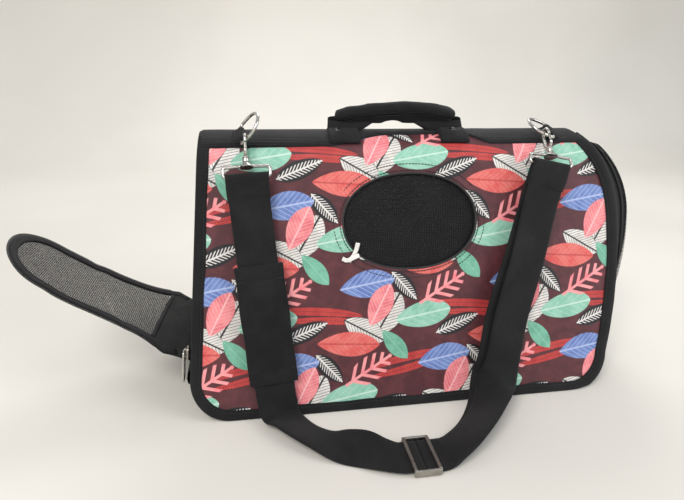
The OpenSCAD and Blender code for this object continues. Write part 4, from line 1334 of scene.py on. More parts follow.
def door_sag(y, u):
    """Droop and creases of the open door, as an offset along its normal."""
    f = u / DLEN
    k = 1 - (y / 60) ** 2
    droop = -3.4 * math.sin(math.pi * min(1, f)) * (0.55 + 0.45 * max(0.0, k))
    droop += 10.0 * (max(0.0, f - 0.55) / 0.45) ** 2
    crease = -1.6 * math.exp(-(((u - 96) - y * 0.55) / 5.0) ** 2) * max(0, k)
    crease += 1.2 * math.exp(-(((u - 128) + y * 0.4) / 7.0) ** 2) * max(0, k)
    return droop + crease + 0.8 * fuzz(y, u, 0, 34, 9.0)


def door_place(y, u, n):
    return at(M_DOOR, (n + door_sag(y, u), y, u - 5.0 * max(0.0, u / DLEN - 0.5) ** 2 * 4))


flap_top = 37.0
foot = [p for p in door_outline(0) if p[1] < flap_top - 1]
cut_l, cut_r = (-door_half(flap_top), flap_top + 4), (door_half(flap_top), flap_top - 5)
flap_poly = [p for p in foot if p[0] < 0] + [cut_l, (0, flap_top), cut_r] + [p for p in foot if p[0] > 0]
ob = skin("door_flap", flap_poly, [], 5, lambda a, b, n: door_place(a, b, n + 0.8), 2.0, M_CLOTH)
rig.ride(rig.slot(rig.replaces(ob, "door_base_flap"), "black_fabric"), "door")
top_in = [p for p in door_outline(6) if p[1] > flap_top - 8]
ob = skin("door_net", top_in, [], 5, door_place, 0.5, M_DOOR_NET)
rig.ride(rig.slot(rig.replaces(ob, "door_mesh"), "mesh_fabric"), "door")

# border: folded tape along the door's arch, open at the foot
def border_profile(_, run):
    w = 9.5 + 0.4 * math.sin(run / 11)
    pk = 0.25 * fuzz(run, 0, 0, 6, 11)
    outside = [(w, 0.2), (w - 0.4, 1.3 + pk), (w - 2.2, 1.4 + pk), (w - 3, 1.15), (w / 2, 1.7 + pk)]
    edge = [(1.2, 1.5), (0.0, 0.6), (0.0, -0.6), (1.2, -1.5)]
    return outside + edge + [(w / 2, -1.7 + pk), (w - 3, -1.15), (w - 0.4, -1.3), (w, -0.2)]


path = resample([p for p in door_outline(0) if p[1] > 1.5], 4.0)
rows, uvs, lines = folded(path, border_profile, door_place, 1, (2.6, 1.35))
ob = grid("door_border_tape", rows, M_BIND, False, True, uvs, True)
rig.ride(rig.slot(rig.replaces(ob, "door_border"), "black_fabric"), "door")
nrm = heading(M_DOOR, (1, 0, 0))
ob = stitches("door_border_stitch", lines, [nrm] * len(lines), M_THREAD, 3.4, 2.4, 0.3, 0.1)
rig.ride(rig.slot(ob, "black_fabric"), "door")
chain_line = [p for p in door_outline(-1.0) if p[1] > 27]
ob = coil("door_coil", chain_line, door_place)
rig.ride(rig.slot(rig.replaces(ob, "door_zip_chain"), "zip_plastic"), "door")
# seam tape where the net meets the flap
seam = [(-door_half(46) + 6, flap_top + 3.2), (0, flap_top), (door_half(46) - 6, flap_top - 4.2)]
st = []
for a, b in resample(seam, 12):
    here = door_place(a, b, 1.2)
    st.append((here, tuple(np.array(door_place(a, b + 3, 1.2)) - np.array(here))))
ob, _ = band("door_seam_tape", st, 4.0, 0.9, M_BIND, 3, across=4)
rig.ride(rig.slot(ob, "black_fabric"), "door")
# soft hinge cloth between sill and door
rows, uvs = [], []
for k in np.linspace(0, 1, 9):
    row = []
    for y in np.linspace(-64, 64, 30):
        a = np.array(end_point(y, -3.0, -2.6))
        b = np.array(end_point(y, 0.0, -5.4))
        c = np.array(door_place(y, 4.0, 0.9))
        q = a * (1 - k) ** 2 + b * 2 * k * (1 - k) + c * k * k
        row.append(tuple(q))
        uvs.append((y * MM, k * 0.012))
    rows.append(row)
ob = grid("door_hinge_cloth", rows, M_CLOTH, uvs=uvs)
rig.blend(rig.slot(ob, "black_fabric"), "shell", "door", tuple(c * MM for c in end_point(0, -3, -2.6)),
    tuple(c * MM for c in door_place(0, 4.0, 0.9)))

# ------------------------------------------------------------------ closed, domed end
DZ0, DZ1, BULGE = 38.0, H - T - 2, 43.0


def inner_y(d, z):
    """Half depth of the bag at height z, d mm inside the skin."""
    if z < ZC + (R - d) * math.sin(LEAN):
        return side_y(d, z)
    return math.sqrt(max(1, (R - d) ** 2 - (z - ZC) ** 2))


def dome(z, s, n=0.0):
    f = (z - DZ0) / (H - DZ0)
    sw = BULGE * max(0, math.sin(math.pi * max(0.0, f) ** 1.25)) ** 0.7
    x = right_x(z) - 1.0 + sw * (1 - abs(s) ** 2.3) + n
    return (x, inner_y(T - 0.6, z) * s, z)


rows, uvs, rows_in = [], [], []
for z in np.concatenate([np.linspace(DZ0 - 1, 250, 44), np.linspace(252, DZ1 + 1.4, 6)]):
    row, ri = [], []
    for s in np.linspace(-1, 1, 41):
        a = abs(s)
        seam = -1.0 * math.exp(-((a - 0.62) / 0.035) ** 2)
        wr = 1.1 * fuzz(z, s * 80, 0, 42, 5.0) * (1 - a) + 0.9 * fuzz(z * 0.6, s * 60, 3, 16, 2.0) * (1 - a)
        row.append(dome(z, s, seam * (1 if 50 < z < 245 else 0) + wr))
        ri.append(dome(z, s, -2.4))
        uvs.append((s * inner_y(T, z) * MM, z * MM))
    rows.append(row)
    rows_in.append(ri)
ob = grid("dome_cloth", rows, M_GLOSS, uvs=uvs)
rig.ride(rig.slot(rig.replaces(ob, "right_end_panel"), "black_fabric"), "shell")
ob = grid("dome_lining", rows_in, M_LINING, uvs=uvs)
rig.ride(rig.slot(ob, "black_fabric"), "shell")


def zip_path(n_out):
    """The domed end's zip, an arch n_out mm above the cloth, with its normals."""
    inset, z_low, z_high, steps = 0.74, 52.0, 244.0, 90
    out, nor = [], []
    for i in range(steps + 1):
        a = math.radians(2 + 176 * i / steps)
        c = math.cos(a)
        z = z_low + (z_high - z_low) * math.sin(a) ** 0.8
        s = -inset * squared(c, 0.35)
        p = np.array(dome(z, s))
        along = np.array(dome(z, s + 0.02)) - np.array(dome(z, s - 0.02))
        q = unit(np.cross(along, np.array(dome(z + 0.5, s)) - np.array(dome(z - 0.5, s))))
        if q[0] < 0:
            q = -q
        out.append(tuple(p + q * n_out))
        nor.append(tuple(q))
    return out, nor


centre, normals = zip_path(0.5)
st = []
for i, q in enumerate(normals):
    along = np.array(centre[min(i + 1, len(centre) - 1)]) - np.array(centre[max(i - 1, 0)])
    st.append((centre[i], tuple(np.cross(np.array(q), along))))
rows, uvs = band_rows(st, 17, 1.2)
ob = grid("dome_zip_tape", rows, M_BIND, False, True, uvs, True)
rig.ride(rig.slot(ob, "zip_plastic"), "shell")
centre, normals = zip_path(1.6)
pts, nn = resample(centre, 1.5), resample(normals, 1.5)
foot = ((-1, -1), (1, -1), (1, 1), (-1, 1))
tooth = [(a, b, -1) for a, b in foot] + [(a * 0.7, b * 0.8, 1) for a, b in foot]
parts = []
for i in range(len(pts) - 1):
    t = unit(pts[i + 1] - pts[i])
    up = nn[min(i, len(nn) - 1)]
    sd = unit(np.cross(up, t))
    for k in (-1, 1):
        c = (pts[i] + pts[i + 1]) / 2 + sd * k * 1.15 + t * 0.35 * k
        v = [c + t * a * 0.5 + sd * b * 1.2 + up * h * 0.55 for a, b, h in tooth]
        parts.append((v, [f[::-1] for f in TOOTH_FACES]))
ob = join_parts("dome_zip_coil", parts, M_ZIP)
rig.ride(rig.slot(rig.replaces(ob, "right_end_zip"), "zip_plastic"), "shell")
# piping round the dome where it meets the panels
for side in (1, -1):
    path = [(right_x(z) + 2.4, -side * (inner_y(T, z) - 1.0), z) for z in np.linspace(32, 255, 60)]
    ob = tube(f"dome_piping_{'front' if side > 0 else 'back'}", path, 2.6, M_PIPE, up=(1, 0, 0.01),
        sides=10)
    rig.ride(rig.slot(ob, "black_fabric"), "shell")


# ------------------------------------------------------------------ D-rings and tabs
RC, RING_X, RING_H, RING_ARM = 40.9, 158.0, 14.0, 12.0


def ring_at(side):
    """Y, Z, dip and tip angle of a ring: the two lie differently on the ridge."""
    a = math.radians(120 if side < 0 else 114)
    return RC * math.cos(a), ZC + RC * math.sin(a), a - math.pi / 2, math.radians(52 if side < 0 else 20)


def m_seat(side):
    """Frame of a ring's tab on the ridge."""
    y, z, dip, _ = ring_at(side)
    return Matrix.Translation((side * RING_X, y, z)) @ Matrix.Rotation(dip, 4, "X")


def m_ring(side):
    """Frame of a ring, X out along its arms."""
    m = m_seat(side)
    if side > 0:
        m = m @ Matrix.Diagonal((-1, 1, 1, 1))
    return m @ Matrix.Rotation(-ring_at(side)[3], 4, "Y")


def ring_path():
    """The D of wire: the straight bar in its tab, then the arms and the round."""
    pts = [(0.9, -RING_H + 0.9), (0, -RING_H + 3), (0, 0)]
    pts += [(0, RING_H - 3), (0.9, RING_H - 0.9), (3, RING_H)]
    pts += [(RING_ARM + RING_H * math.sin(a), RING_H * math.cos(a)) for a in np.linspace(0, math.pi, 25)]
    pts += [(3, -RING_H)]
    return [(a, b, 0) for a, b in pts]


for side, nm in ((-1, "left"), (1, "right")):
    m = m_ring(side)
    path = [at(m, p) for p in resample(ring_path(), 2.2, True)]
    up = heading(m, (0, 0, 1))
    ob = tube(f"d_ring_wire_{nm}", path, 1.5, M_STEEL, up=up, sides=16, closed=True)
    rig.ride(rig.slot(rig.replaces(ob, f"d_ring_{nm}"), "nickel_metal"), "shell")
    # tab: a short thick webbing loop folded round the bar, its ends sewn to the ridge
    rows, uvs = [], []
    prof = [(-8.5, -3.0), (-7.6, -1.0), (-6.2, -0.2), (-4.6, 1.0)]
    for t in np.linspace(math.radians(165), 0, 10):
        prof.append((3.5 * math.cos(t), 3.6 * math.sin(t) + 0.1))
    prof += [(4.6, -0.4), (6.4, -1.2), (7.8, -3.0)]
    loop = prof + [(a * 0.9, -3.4) for a, b in prof[::-1][2:-2]]
    m0 = m_seat(side)
    for y in np.linspace(-9.5, 9.0, 15):
        e = 1 - 0.12 * max(0, abs(y) - 7.5) / 2
        row = []
        for a, b in loop:
            curve = -(y * y) / (2 * RC)
            rag = 0.5 * fuzz(a, y, side * 3, 6, 7)
            rag += 0.4 * fuzz(a, y, side * 5, 2.5, 3) if abs(y) > 8 else 0
            row.append(at(m0, (-side * a * e, y + rag * 0.6, (b if b < 0 else b * e) + curve + rag)))
            uvs.append((a * MM, y * MM))
        rows.append(row)
    ob = grid(f"ring_tab_cloth_{nm}", rows, M_WEB, False, True, uvs, True)
    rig.ride(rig.slot(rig.replaces(ob, f"ring_tab_{nm}"), "black_webbing"), "shell")
    path = [at(m0, (side * 6.0, y, 0.2 - y * y / (2 * RC))) for y in np.linspace(-7, 7, 8)]
    ob = stitches(f"ring_tab_stitch_{nm}", path, [(0, -0.4, 0.9)] * 8, M_THREAD, 2.4, 1.9, 0.35, 0.2)
    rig.ride(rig.slot(ob, "black_webbing"), "shell")

# ------------------------------------------------------------------ hooks, gates, strap loops
def swing(side):
    """Where a hook hangs on its ring's arm."""
    y, z, dip, tip = ring_at(side)
    along = 5.4 if side < 0 else 12.0
    h = math.sqrt(RING_H**2 - max(0.0, along - RING_ARM) ** 2)
    return (RING_X - along * math.cos(tip), y - h * math.cos(dip) - along * math.sin(tip) * math.sin(dip),
            z - h * math.sin(dip) + along * math.sin(tip) * math.cos(dip))


def m_hook(side):
    """Frame of a hook: it hangs towards the strap's top, ty and tz."""
    x, y, z = swing(side)
    ty, tz = (-49, 232) if side < 0 else (-52, 236)
    return Matrix.Translation((side * x, y, z)) @ Matrix.Rotation(-math.atan2(y - ty, z - tz), 4, "X")


def m_loop(side, turn):
    """Frame of a strap's metal loop, turned about the hook's swivel."""
    swivel = m_hook(side) @ Matrix.Translation((0, 0, -20.6))
    return swivel @ Matrix.Rotation(math.radians(turn), 4, "Y")


def lathe(name, m, prof, mat):
    """A turned piece: prof holds (radius, height) pairs."""
    rows = [[at(m, (r * math.cos(a), r * math.sin(a), z)) for a in turns(24)] for r, z in prof]
    return grid(name, rows, mat, False, True, None, True, True, 40)


HOOKS = ((-1, "left", -2.5), (1, "right", 10.0))  # side, name and the loop's turn in degrees
for side, nm, turn in HOOKS:
    m = m_hook(side)
    hr = 5.5
    pts = [(0, 0, -15.4), (0, 3.4, -14.3), (0, 5.4, -11.4), (0, 5.5, -7), (0, 5.5, -3)]
    pts += [(0, hr * math.cos(a), hr * math.sin(a)) for a in np.linspace(0, math.pi, 12)]
    pts += [(0, -5.5, -2.2)]
    path = [at(m, p) for p in spline(pts, 3)]
    up = heading(m, (1, 0, 0))
    ob = tube(f"hook_bend_{nm}", path, 1.55, M_STEEL, up=up, sides=14, radius=lambda f: 1.9 - 0.5 * f)
    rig.ride(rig.slot(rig.replaces(ob, f"hook_{nm}"), "nickel_metal"), "strap")
    ob = lathe(f"hook_barrel_{nm}", m, [(2.0, -20.5), (3.0, -20.1), (3.1, -17.6), (2.5, -17.1),
            (3.1, -16.6), (3.0, -15.6), (2.2, -14.6), (1.3, -13.9)], M_STEEL)
    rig.ride(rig.slot(ob, "nickel_metal"), "strap")
    foot = [(0, 0, -14.7), (0, -3.2, -14.0), (0, -5.2, -12.0), (0, -5.6, -9.8)]
    ob = tube(f"hook_foot_{nm}", [at(m, p) for p in spline(foot, 4)], 1.5, M_STEEL, up=up, sides=12)
    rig.ride(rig.slot(ob, "nickel_metal"), "strap")
    # gate: a thin sprung lever closing the mouth
    gp = [(0, -5.5, -8.6), (0, -5.6, -6.8), (0, -5.5, -4.8), (0, -5.4, -3.2)]
    ob = tube(f"gate_lever_{nm}", [at(m, p) for p in spline(gp, 4)], 1.0, M_DARK_STEEL, up=up, sides=10,
        squashed=1.25)
    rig.ride(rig.slot(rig.replaces(ob, f"hook_gate_{nm}"), "nickel_metal"), f"gate_{nm}")
    # loop with its conical swivel
    ml = m_loop(side, turn)
    lh, top, bend, drop = 21.4, -3.6, 2.4, 10.0
    lp = []
    for cx, cz, a0 in ((-lh + bend, top - drop + bend, 180), (lh - bend, top - drop + bend, 270),
            (lh - bend, top - bend - 0.6, 0), (-lh + bend, top - bend - 0.6, 90)):
        for k in range(5):
            a = math.radians(a0 + 90 * k / 4)
            lp.append((cx + bend * math.cos(a), 0, cz + bend * math.sin(a)))
            if a0 == 0 and k == 4:
                crest = [(lh * 0.62, top - 0.5), (lh * 0.3, top - 0.1), (3.5, top + 0.5)]
                lp += [(x, 0, z) for x, z in crest] + [(-x, 0, z) for x, z in crest[::-1]]
    path = [at(ml, p) for p in resample(lp, 1.6, True)]
    up = heading(ml, (0, 1, 0))
    ob = tube(f"loop_wire_{nm}", path, 1.6, M_STEEL, up=up, sides=14, closed=True)
    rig.ride(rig.slot(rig.replaces(ob, f"strap_loop_{nm}"), "nickel_metal"), "strap")
    ob = lathe(f"loop_swivel_{nm}", ml, [(5.6, -5.6), (6.6, -5.0), (6.4, -4.0), (4.7, -2.6), (3.3, -1.2),
            (2.9, 0.1), (2.0, 0.6)], M_STEEL)
    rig.ride(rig.slot(ob, "nickel_metal"), "strap")

# ------------------------------------------------------------------ strap
LEFT = [
    ((-154.2, -51, 222), (1, 0, 0.06)), ((-149, -65, 164), (1, 0, 0.09)),
    ((-142.5, -81.5, 97), (1, 0, 0.09)), ((-136, -97.5, 31), (1, 0, 0.09)),
    ((-134, -102, 17), (1, -0.05, 0.02)), ((-131, -108, 9.5), (0.98, 0.15, -0.1)),
    ((-125, -116, 7.3), (0.88, 0.42, -0.22)), ((-117, -127, 7), (0.75, 0.6, -0.28)),
    ((-106, -139, 6.6), (0.55, 0.8, -0.26)), ((-92, -149, 5), (0.38, 0.92, -0.1)),
    ((-77, -157, 5.6), (0.28, 0.94, 0.2)), ((-62, -164, 6.8), (0.25, 0.92, 0.28)),
    ((-48, -171, 5.4), (0.22, 0.97, 0.1)), ((-36, -176, 4.4), (0.1, 1, 0)), ((-30, -177, 4.2), (0, 1, 0)),
    ((-14, -177, 4.2), (0, 1, 0))]
RIGHT = [
    ((-13.4, -177, 4.2), (0, 1, 0)), ((4, -177, 4.2), (0, 1, 0)), ((14, -176, 6.6), (-0.15, 0.98, -0.12)),
    ((28, -170, 10.9), (-0.35, 0.88, -0.3)),
    ((44, -159, 14.7), (-0.5, 0.74, -0.42)), ((59, -145, 17.4), (-0.65, 0.58, -0.44)),
    ((72, -130, 20.8), (-0.78, 0.4, -0.38)), ((82, -116, 26.5), (-0.88, 0.22, -0.2)),
    ((89, -108, 35), (-0.95, 0.08, 0.1)), ((95, -100.5, 50), (-0.96, 0.02, 0.25)),
    ((103.5, -90.5, 92), (-0.96, 0, 0.28)), ((119.5, -77, 142), (-0.96, 0, 0.28)),
    ((132, -63.5, 190), (-0.97, 0.02, 0.25)), ((142.2, -55.4, 228.2), (-0.975, 0.05, 0.2))]
RETURN = [
    ((-12, -177, 2.2), (0, 1, 0)), ((4, -177, 2.2), (0, 1, 0)), ((13, -174.5, 3.6), (-0.15, 0.98, -0.12)),
    ((26, -167.5, 7.2), (-0.35, 0.88, -0.3)),
    ((41.5, -156, 10.1), (-0.5, 0.74, -0.42)), ((56, -141.5, 12.3), (-0.65, 0.58, -0.44)),
    ((68, -126.5, 15.7), (-0.78, 0.4, -0.38)), ((77, -112.5, 22), (-0.88, 0.22, -0.2)),
    ((82.5, -101.5, 33.5), (-0.95, 0.08, 0.1)), ((87.5, -97.3, 50), (-0.96, 0.02, 0.25)),
    ((95.5, -87.2, 92), (-0.96, 0, 0.28)), ((113.5, -73.4, 142), (-0.96, 0, 0.28)),
    ((129.5, -60, 190), (-0.97, 0.02, 0.25)), ((141.6, -51.4, 228), (-0.975, 0.05, 0.2))]


def length_of(pts):
    return sum(float(np.linalg.norm(np.array(b) - np.array(a))) for a, b in zip(pts, pts[1:]))


strap_info = []
BANDS = (
    ("strap_left_leg", LEFT, "strap_left"),
    ("strap_right_leg", RIGHT, "strap_right_front"),
    ("strap_right_return", RETURN, "strap_right_back"),
)
for name, st, node in BANDS:
    ob, cs = band(name, st, STRAP_W, STRAP_T, M_WEB, 6, across=10, wobble=0.35, seed=len(name))
    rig.ride(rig.slot(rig.replaces(ob, node), "black_webbing"), "strap")
    strap_info.append((ob, [tuple(c * MM for c in p) for p in cs], length_of(cs) * MM))
for ob, path, L in strap_info:
    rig.cord(ob, exit=path[0], length=L, diameter=0.038, far_end="object", stiffness="limp", lay="loose",
        path=path)

# webbing folded round each loop's lower bar
for (side, nm, turn), leg in zip(HOOKS, (LEFT[0], RIGHT[-1])):
    ml = m_loop(side, turn)
    bar = np.array(at(ml, (0, 0, -13.6)))
    down = unit(np.array(LEFT[1][0] if side < 0 else RIGHT[-2][0], float) - np.array(leg[0], float))
    sd = unit(leg[1]) * -side
    out = unit(np.cross(sd, down))
    if out[1] > 0:
        out = -out
    tail = ((16, -0.3), (13.5, 0.5), (10, 1.35), (6, 1.8))
    line = [np.array(leg[0]) + down * k + out * n for k, n in tail]
    line += [bar + out * 2.9 * math.cos(a) - down * 2.9 * math.sin(a)
        for a in np.linspace(-0.3, math.pi + 0.3, 13)]
    line += [np.array(leg[0]) + down * k - out * n for k, n in ((6, 1.7),) + tail[2::-1]]
    rows, uvs = band_rows([(c, sd) for c in resample(line, 1.4)], 39.6, 1.3, wobble=0.15, seed=side)
    ob = grid(f"strap_fold_{nm}", rows, M_WEB, False, True, uvs, True)
    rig.ride(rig.slot(ob, "black_webbing"), "strap")

# ------------------------------------------------------------------ shoulder pad
LT, LF = np.array(LEFT[0][0], float), np.array(LEFT[3][0], float)  # top and foot of the left leg
LD = unit(LT - LF)  # up along the leg; LS lies across it and LO points outward
LS = np.array(LEFT[3][1], float)
LS = unit(LS - LD * np.dot(LS, LD))
LO = np.cross(LS, LD)
PAD_O = LF + LD * (36 - LF[2]) / LD[2]
if LO[1] > 0:
    LO = -LO


def leg(x, y, n):
    return tuple(PAD_O + LS * x + LD * y + LO * n)


def leg_rel(a, b, t):
    """A point of the way from a to b, both given on the left leg."""
    return leg(*(np.array(a) + (np.array(b) - np.array(a)) * t))


PAD_L, PAD_W, hem = 116.0, 46.0, 14.0
rows, uvs = [], []
for y in np.linspace(0, PAD_L, 78):
    e = min(y, PAD_L - y)
    crease = math.exp(-((e - hem) / 1.1) ** 2)
    end = min(1, (e / 1.8)) ** 0.5 if e < 1.8 else 1
    t_mid = (3.1 if e > hem else 2.7) - 1.0 * crease
    t_here = 0.9 + t_mid * end
    w_here = PAD_W / 2 - 0.5 * (1 - end) - 0.35 * crease + (0.35 * math.sin(y / 9.0) if e > 3 else 0)
    row = []
    for a in turns(44):
        s = math.sin(a)
        px = w_here * squared(math.cos(a), 0.55)
        k = abs(px) / w_here
        welt = -0.9 * math.exp(-((k - 0.88) / 0.035) ** 2)
        th = t_here * (abs(s) ** 0.5) + (welt + 0.5 * fuzz(px, y, 0, 16, 1) * (1 - k)) * (abs(s) ** 2)
        th = max(0.25, th)
        row.append(leg(px, y, th + 0.6 if s >= 0 else -th))
        uvs.append((px * MM, y * MM))
    rows.append(row)
ob = grid("shoulder_pad_cover", rows, M_PAD, False, True, uvs, True)
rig.padded(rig.ride(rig.slot(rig.replaces(ob, "shoulder_pad"), "black_fabric"), "pad"), 0.55)
SEAMS = {
    "long": [((s * 20.2, 3, 3.1), (s * 20.2, PAD_L - 3, 3.1)) for s in (-1, 1)],
    "hem": [((-20, y, 3.4), (20, y, 3.4)) for y in (hem, PAD_L - hem)],
}
for nm, ends in SEAMS.items():
    for k, (a, b) in enumerate(ends):
        path = [leg_rel(a, b, t) for t in np.linspace(0, 1, 20)]
        ob = stitches(f"pad_stitch_{nm}_{k + 1}", path, [tuple(LO)] * 20, M_THREAD, 3.2, 2.4, 0.34, -0.25)
        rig.ride(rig.slot(ob, "black_fabric"), "pad")

# ------------------------------------------------------------------ adjuster
AX, AY = -13.0, -177.0
parts = []
for s in (-1, 1):
    parts.append(block((AX, AY + s * 20.9, 4.2), (24.6, 2.4, 6.6), 0.9))
    parts.append(block((AX + s * 10.8, AY, 6.9), (3.2, 42.0, 1.9), 0.8))
ob = join_parts("adjuster_plate", parts, M_DARK_STEEL)
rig.ride(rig.slot(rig.replaces(ob, "adjuster_frame"), "nickel_metal"), "adjuster")
path = [(AX - 5, AY + y, 1.7) for y in np.linspace(-21, 21, 9)]
ob = tube("adjuster_pin", path, 1.0, M_STEEL, up=(0, 0, 1), sides=12)
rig.ride(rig.slot(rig.replaces(ob, "adjuster_bar"), "nickel_metal"), "adjuster")

# ------------------------------------------------------------------ handle
PZ, LEANH = H + 12.0, math.radians(30)
HX0, HX1 = -74.0, 68.0  # outer edges of the handle's two ends
M_H = Matrix.Translation((0, 0, PZ)) @ Matrix.Rotation(LEANH, 4, "X")
M_H_INV = M_H.inverted()
RX0, RX1 = -67.0, 59.0  # ends of the padded roll


def handle_top(x):
    return 19.0 - 7.0 * ((8 - x) / 62.0) ** 2 if x < 8 else 19.0 - 6.5 * ((x - 8) / 46.0) ** 2


def handle_low(x):
    """Lower edge of the fold under the roll: lifted over the hand gap, down at the two legs."""
    if x < -6:
        return max(-4.6, -0.8 - 3.4 * ((-6 - x) / 12.0) ** 1.6)
    return max(-4.6, -0.8 - 3.5 * ((x + 6) / 10.0) ** 1.6)


def to_local(co):
    return M_H_INV @ (Vector(co) / MM)


def wrap_handle(mid, radius):
    """Cloth coordinates round a roll that runs along x."""
    def wrap(co, face):
        p, c = to_local(co), to_local(face)
        a = math.atan2(p.z - mid(p.x), p.y)
        b = math.atan2(c.z - mid(c.x), c.y)
        if a - b > math.pi:
            a -= 2 * math.pi
        if b - a > math.pi:
            a += 2 * math.pi
        return a * radius * MM, p.x * MM
    return wrap


rows, uvs = [], []
NX = 64
for i in range(NX + 1):
    f = i / NX
    x = RX0 + (RX1 - RX0) * f
    e = min(f, 1 - f)
    end = min(1, (e / 0.06)) ** 0.5
    mid_z = handle_top(x) - 5.6
    row = []
    for a in turns(28):
        c, s = math.cos(a), math.sin(a)
        pucker = 0.9 * fuzz(x * 0.35, c * 6, s * 6, 3.2, 4.4)
        wr = 0.7 * fuzz(x, c * 14, s * 14, 13, 2.2) + 0.45 * fuzz(x * 0.5, c * 20, s * 20, 5, 6)
        wr += pucker * 0.5
        ry, rz = (7.2 + wr) * (0.5 + 0.5 * end), (5.6 + wr) * (0.45 + 0.55 * end)
        row.append(at(M_H, (x, ry * squared(c, 0.85), mid_z + rz * squared(s, 0.85))))
        uvs.append((a * 7 * MM, x * MM))
    rows.append(row)
ob = puff(grid("handle_padding", rows, M_PAD, False, True, uvs, True),
    wrap_handle(lambda x: handle_top(x) - 5.6, 7.0), 0.0034, cap=1.0)
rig.padded(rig.ride(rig.slot(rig.replaces(ob, "handle_roll"), "black_fabric"), "handle"), 0.8)

rows, uvs = [], []
for i in range(NX + 1):
    f = i / NX
    x = RX0 + 2 + (RX1 - RX0 - 4) * f
    e = abs(x - (RX0 + RX1) / 2) / ((RX1 - RX0) / 2)
    top = handle_top(x) - 9.6
    low = min(handle_low(x), top - 3.0)
    mid_z, rz = (top + low) / 2, (top - low) / 2
    end = min(1, min(f, 1 - f) / 0.03) ** 0.5
    row = []
    for a in turns(24):
        c, s = math.cos(a), math.sin(a)
        wr = 0.45 * fuzz(x, c * 9, s * 9, 9, 5.5)
        wr += 0.5 * fuzz(x * 0.4, c * 5, s * 5, 3.4, 8.8)
        ry = (4.9 + wr + 0.8 * e * e) * (0.6 + 0.4 * end)
        row.append(at(M_H, (x, ry * squared(c, 0.7), mid_z + (rz + wr * 0.6) * squared(s, 0.7))))
        uvs.append((a * 5 * MM, x * MM))
    rows.append(row)
ob = puff(grid("handle_lower_fold", rows, M_CLOTH, False, True, uvs, True), wrap_handle(lambda x: 3.5, 5.0),
    0.003, cap=0.7)
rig.padded(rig.ride(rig.slot(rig.replaces(ob, "handle_flap"), "black_fabric"), "handle"), 0.6)
for s in (-1, 1):
    path = [at(M_H, (x, s * 6.0, handle_top(x) - 10.2)) for x in np.linspace(RX0 + 6, RX1 - 6, 50)]
    name = f"handle_stitch_{'a' if s < 0 else 'b'}"
    ob = stitches(name, path, [heading(M_H, (0, s, 0))] * 50, M_THREAD, 3.2, 2.4, 0.34, 0.0)
    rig.ride(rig.slot(ob, "black_fabric"), "handle")

# handle ends: folded webbing sewn and riveted to the ridge
for nm, x0, x1, xr in (("left", HX0, HX0 + 30, HX0 + 9), ("right", HX1 - 30, HX1, HX1 - 14)):
    rows, uvs = [], []
    for f in np.linspace(0, 1, 17):
        x = x0 + (x1 - x0) * f
        row = []
        angles = np.linspace(91, 133, 14)
        for k, a in enumerate(angles):
            n = 2.5 + 1.3 * math.sin(math.pi * part_of(a, 91, 133))
            end = 0.0 if 0 < k < 13 and 0 < f < 1 else -1.6
            end += 0.5 * fuzz(x, a * 0.8, 0, 5, 18)
            r = R + 1.7 + n + end + 0.3 * fuzz(x, a * 2, 0, 9, 8)
            t = math.radians(a)
            row.append((x, r * math.cos(t), ZC + r * math.sin(t)))
            uvs.append((x * MM, a * 0.64 * MM))
        for a in reversed(angles):
            r = R + 1.65
            t = math.radians(a)
            row.append((x, r * math.cos(t), ZC + r * math.sin(t)))
            uvs.append((x * MM, a * 0.64 * MM))
        rows.append(row)
    ob = grid(f"handle_end_cloth_{nm}", rows, M_WEB, False, True, uvs, True)
    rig.ride(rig.slot(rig.replaces(ob, f"handle_end_{nm}"), "black_fabric"), "shell")
    # throat: the wide puffy leg of cloth that joins the handle to its end
    rows, uvs = [], []
    for k in np.linspace(0, 1, 12):
        row = []
        cx = (-57 + 9.5 * k) if nm == "left" else (47.5 - 10.5 * k)
        hw = (17 + 8.5 * k) if nm == "left" else (19.5 + 9.5 * k)
        th = 4.7 + 1.2 * math.sin(math.pi * k)
        for a in turns(40):
            ca, sa = squared(math.cos(a), 0.7), squared(math.sin(a), 0.7)
            wr = 0.8 * fuzz(ca * 9 + cx, sa * 5, k * 6, 5.0, 31)
            wr += 0.4 * fuzz(ca * 9 + cx, sa * 5, k * 9, 2.4, 37)
            lo = np.array((cx + hw * ca, -5.0 + (th + wr) * sa, H + 0.9))
            up = np.array(at(M_H, (cx + hw * ca, (th + wr) * sa, 0.6)))
            row.append(tuple(lo * (1 - k) + up * k))
            uvs.append((a * 8 * MM, k * 0.012))
        rows.append(row)
    ob = grid(f"handle_throat_{nm}", rows, M_CLOTH, False, True, uvs)
    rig.blend(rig.slot(ob, "black_fabric"), "shell", "handle", (0, -0.0055, (H + 1.5) * MM),
        tuple(c * MM for c in at(M_H, (0, 0, 0.5))))
    mr = Matrix.Translation((xr, 0, ZC)) @ Matrix.Rotation(math.radians(18), 4,
        "X") @ Matrix.Translation((0, 0, R + 5.0))
    ob = lathe(f"rivet_{nm}", mr, [(3.3, 0.0), (3.3, 0.5), (2.7, 1.1), (1.5, 1.5), (0.5, 1.6)], M_GUN)
    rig.ride(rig.slot(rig.replaces(ob, "handle_rivets"), "nickel_metal"), "shell")

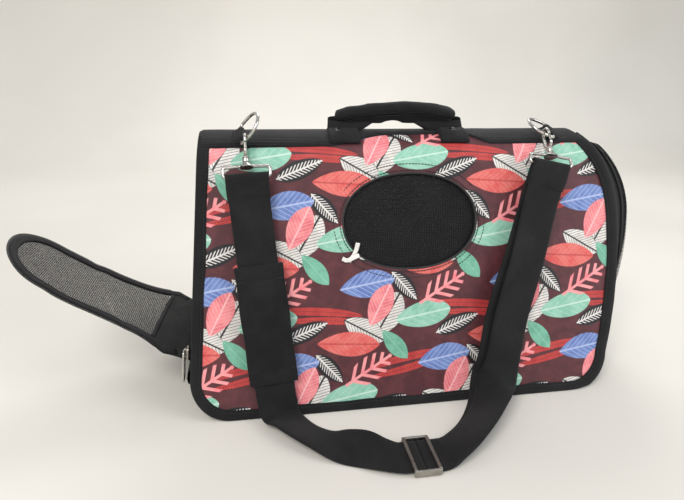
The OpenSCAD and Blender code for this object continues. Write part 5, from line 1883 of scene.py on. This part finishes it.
# ------------------------------------------------------------------ zip slider and pull
SLY = -side_y(7, 58)
M_S = M_END @ Matrix.Translation((-2.3, SLY, 8))
corners, faces = block((-1.7, 0, 6.5), (3.2, 8.6, 12.0), 1.3)
ob = join_parts("slider_body", [([at(M_S, p) for p in corners], faces)], M_DARK_STEEL)
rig.ride(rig.slot(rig.replaces(ob, "zip_slider"), "nickel_metal"), "slider")
bow = [(-3.2, 0, 2.6), (-4.6, 0, 3.4), (-5.6, 0, 5.5), (-5.6, 0, 8), (-4.6, 0, 10.2), (-3.2, 0, 11)]
ob = tube("slider_bow", [at(M_S, p) for p in spline(bow, 4)], 0.9, M_STEEL, up=(0, 1, 0), sides=10,
    squashed=1.4)
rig.ride(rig.slot(ob, "nickel_metal"), "slider")
MP = M_S @ Matrix.Translation((-5.4, 0, 7))
half = [(3.4, 0.4), (3.6, -6), (5.2, -9), (5.2, -27), (3.8, -29.4)]
pl = [(0, -y, z) for y, z in half] + [(0, 0, -29.8)] + [(0, y, z) for y, z in half[::-1]] + [(0, 0, 0.9)]
ob = tube("pull_wire", [at(MP, p) for p in resample(pl, 1.5, True)], 1.05, M_STEEL, up=(1, 0, 0.01),
    sides=12, closed=True)
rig.ride(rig.slot(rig.replaces(ob, "zip_pull"), "nickel_metal"), "pull")

# ------------------------------------------------------------------ stage, light
floor_mat = Graph("floor", srgb("#dcd8d0"), 0.75)
floor_mat.color(floor_mat.mix(floor_mat.ramp(floor_mat.noise(floor_mat.obj(), 1.6, 3, 0.5), 0.3, 0.7),
        srgb("#dedad2"), srgb("#d6d2ca")))
me = bpy.data.meshes.new("floor")
W = 3.2
prof = [(-W, 0.0), (1.1, 0.0)] + [(1.1 + 0.5 * math.sin(a), 0.5 - 0.5 * math.cos(a))
    for a in np.linspace(0, math.pi / 2, 16)[1:]] + [(1.6, 2.6)]
verts = [(x, y, z - 0.0002) for y, z in prof for x in (-W, W)]
me.from_pydata(verts, [], [(2 * i, 2 * i + 1, 2 * i + 3, 2 * i + 2) for i in range(len(prof) - 1)])
me.polygons.foreach_set("use_smooth", [True] * len(me.polygons))
me.materials.append(floor_mat.mat)
floor = bpy.data.objects.new("floor", me)
bpy.context.scene.collection.objects.link(floor)
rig.stage(floor)

world = bpy.data.worlds.new("world")
bpy.context.scene.world = world
world.use_nodes = True
world.node_tree.nodes["Background"].inputs[0].default_value = (0.93, 0.96, 1.0, 1)
world.node_tree.nodes["Background"].inputs[1].default_value = 0.62


def area(name, loc, target, size, power, color=(1, 1, 1)):
    d = bpy.data.lights.new(name, "AREA")
    d.shape, d.size, d.energy, d.color = "DISK", size, power, color
    o = bpy.data.objects.new(name, d)
    o.location = loc
    o.rotation_euler = (Vector(target) - Vector(loc)).to_track_quat("-Z", "Y").to_euler()
    bpy.context.scene.collection.objects.link(o)


area("key", (-0.9, -1.3, 1.7), (0, 0, 0.1), 0.9, 30, (1.0, 0.97, 0.93))
area("fill", (1.4, -0.9, 1.0), (0, 0, 0.1), 1.2, 12, (0.94, 0.97, 1.0))
area("back", (0.3, 1.3, 1.5), (0, 0, 0.15), 1.0, 14)

json.dump({"cad": [list(c) for c in cad_box], "visual": [list(c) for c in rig.bounds()]},
    open("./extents.json", "w"))
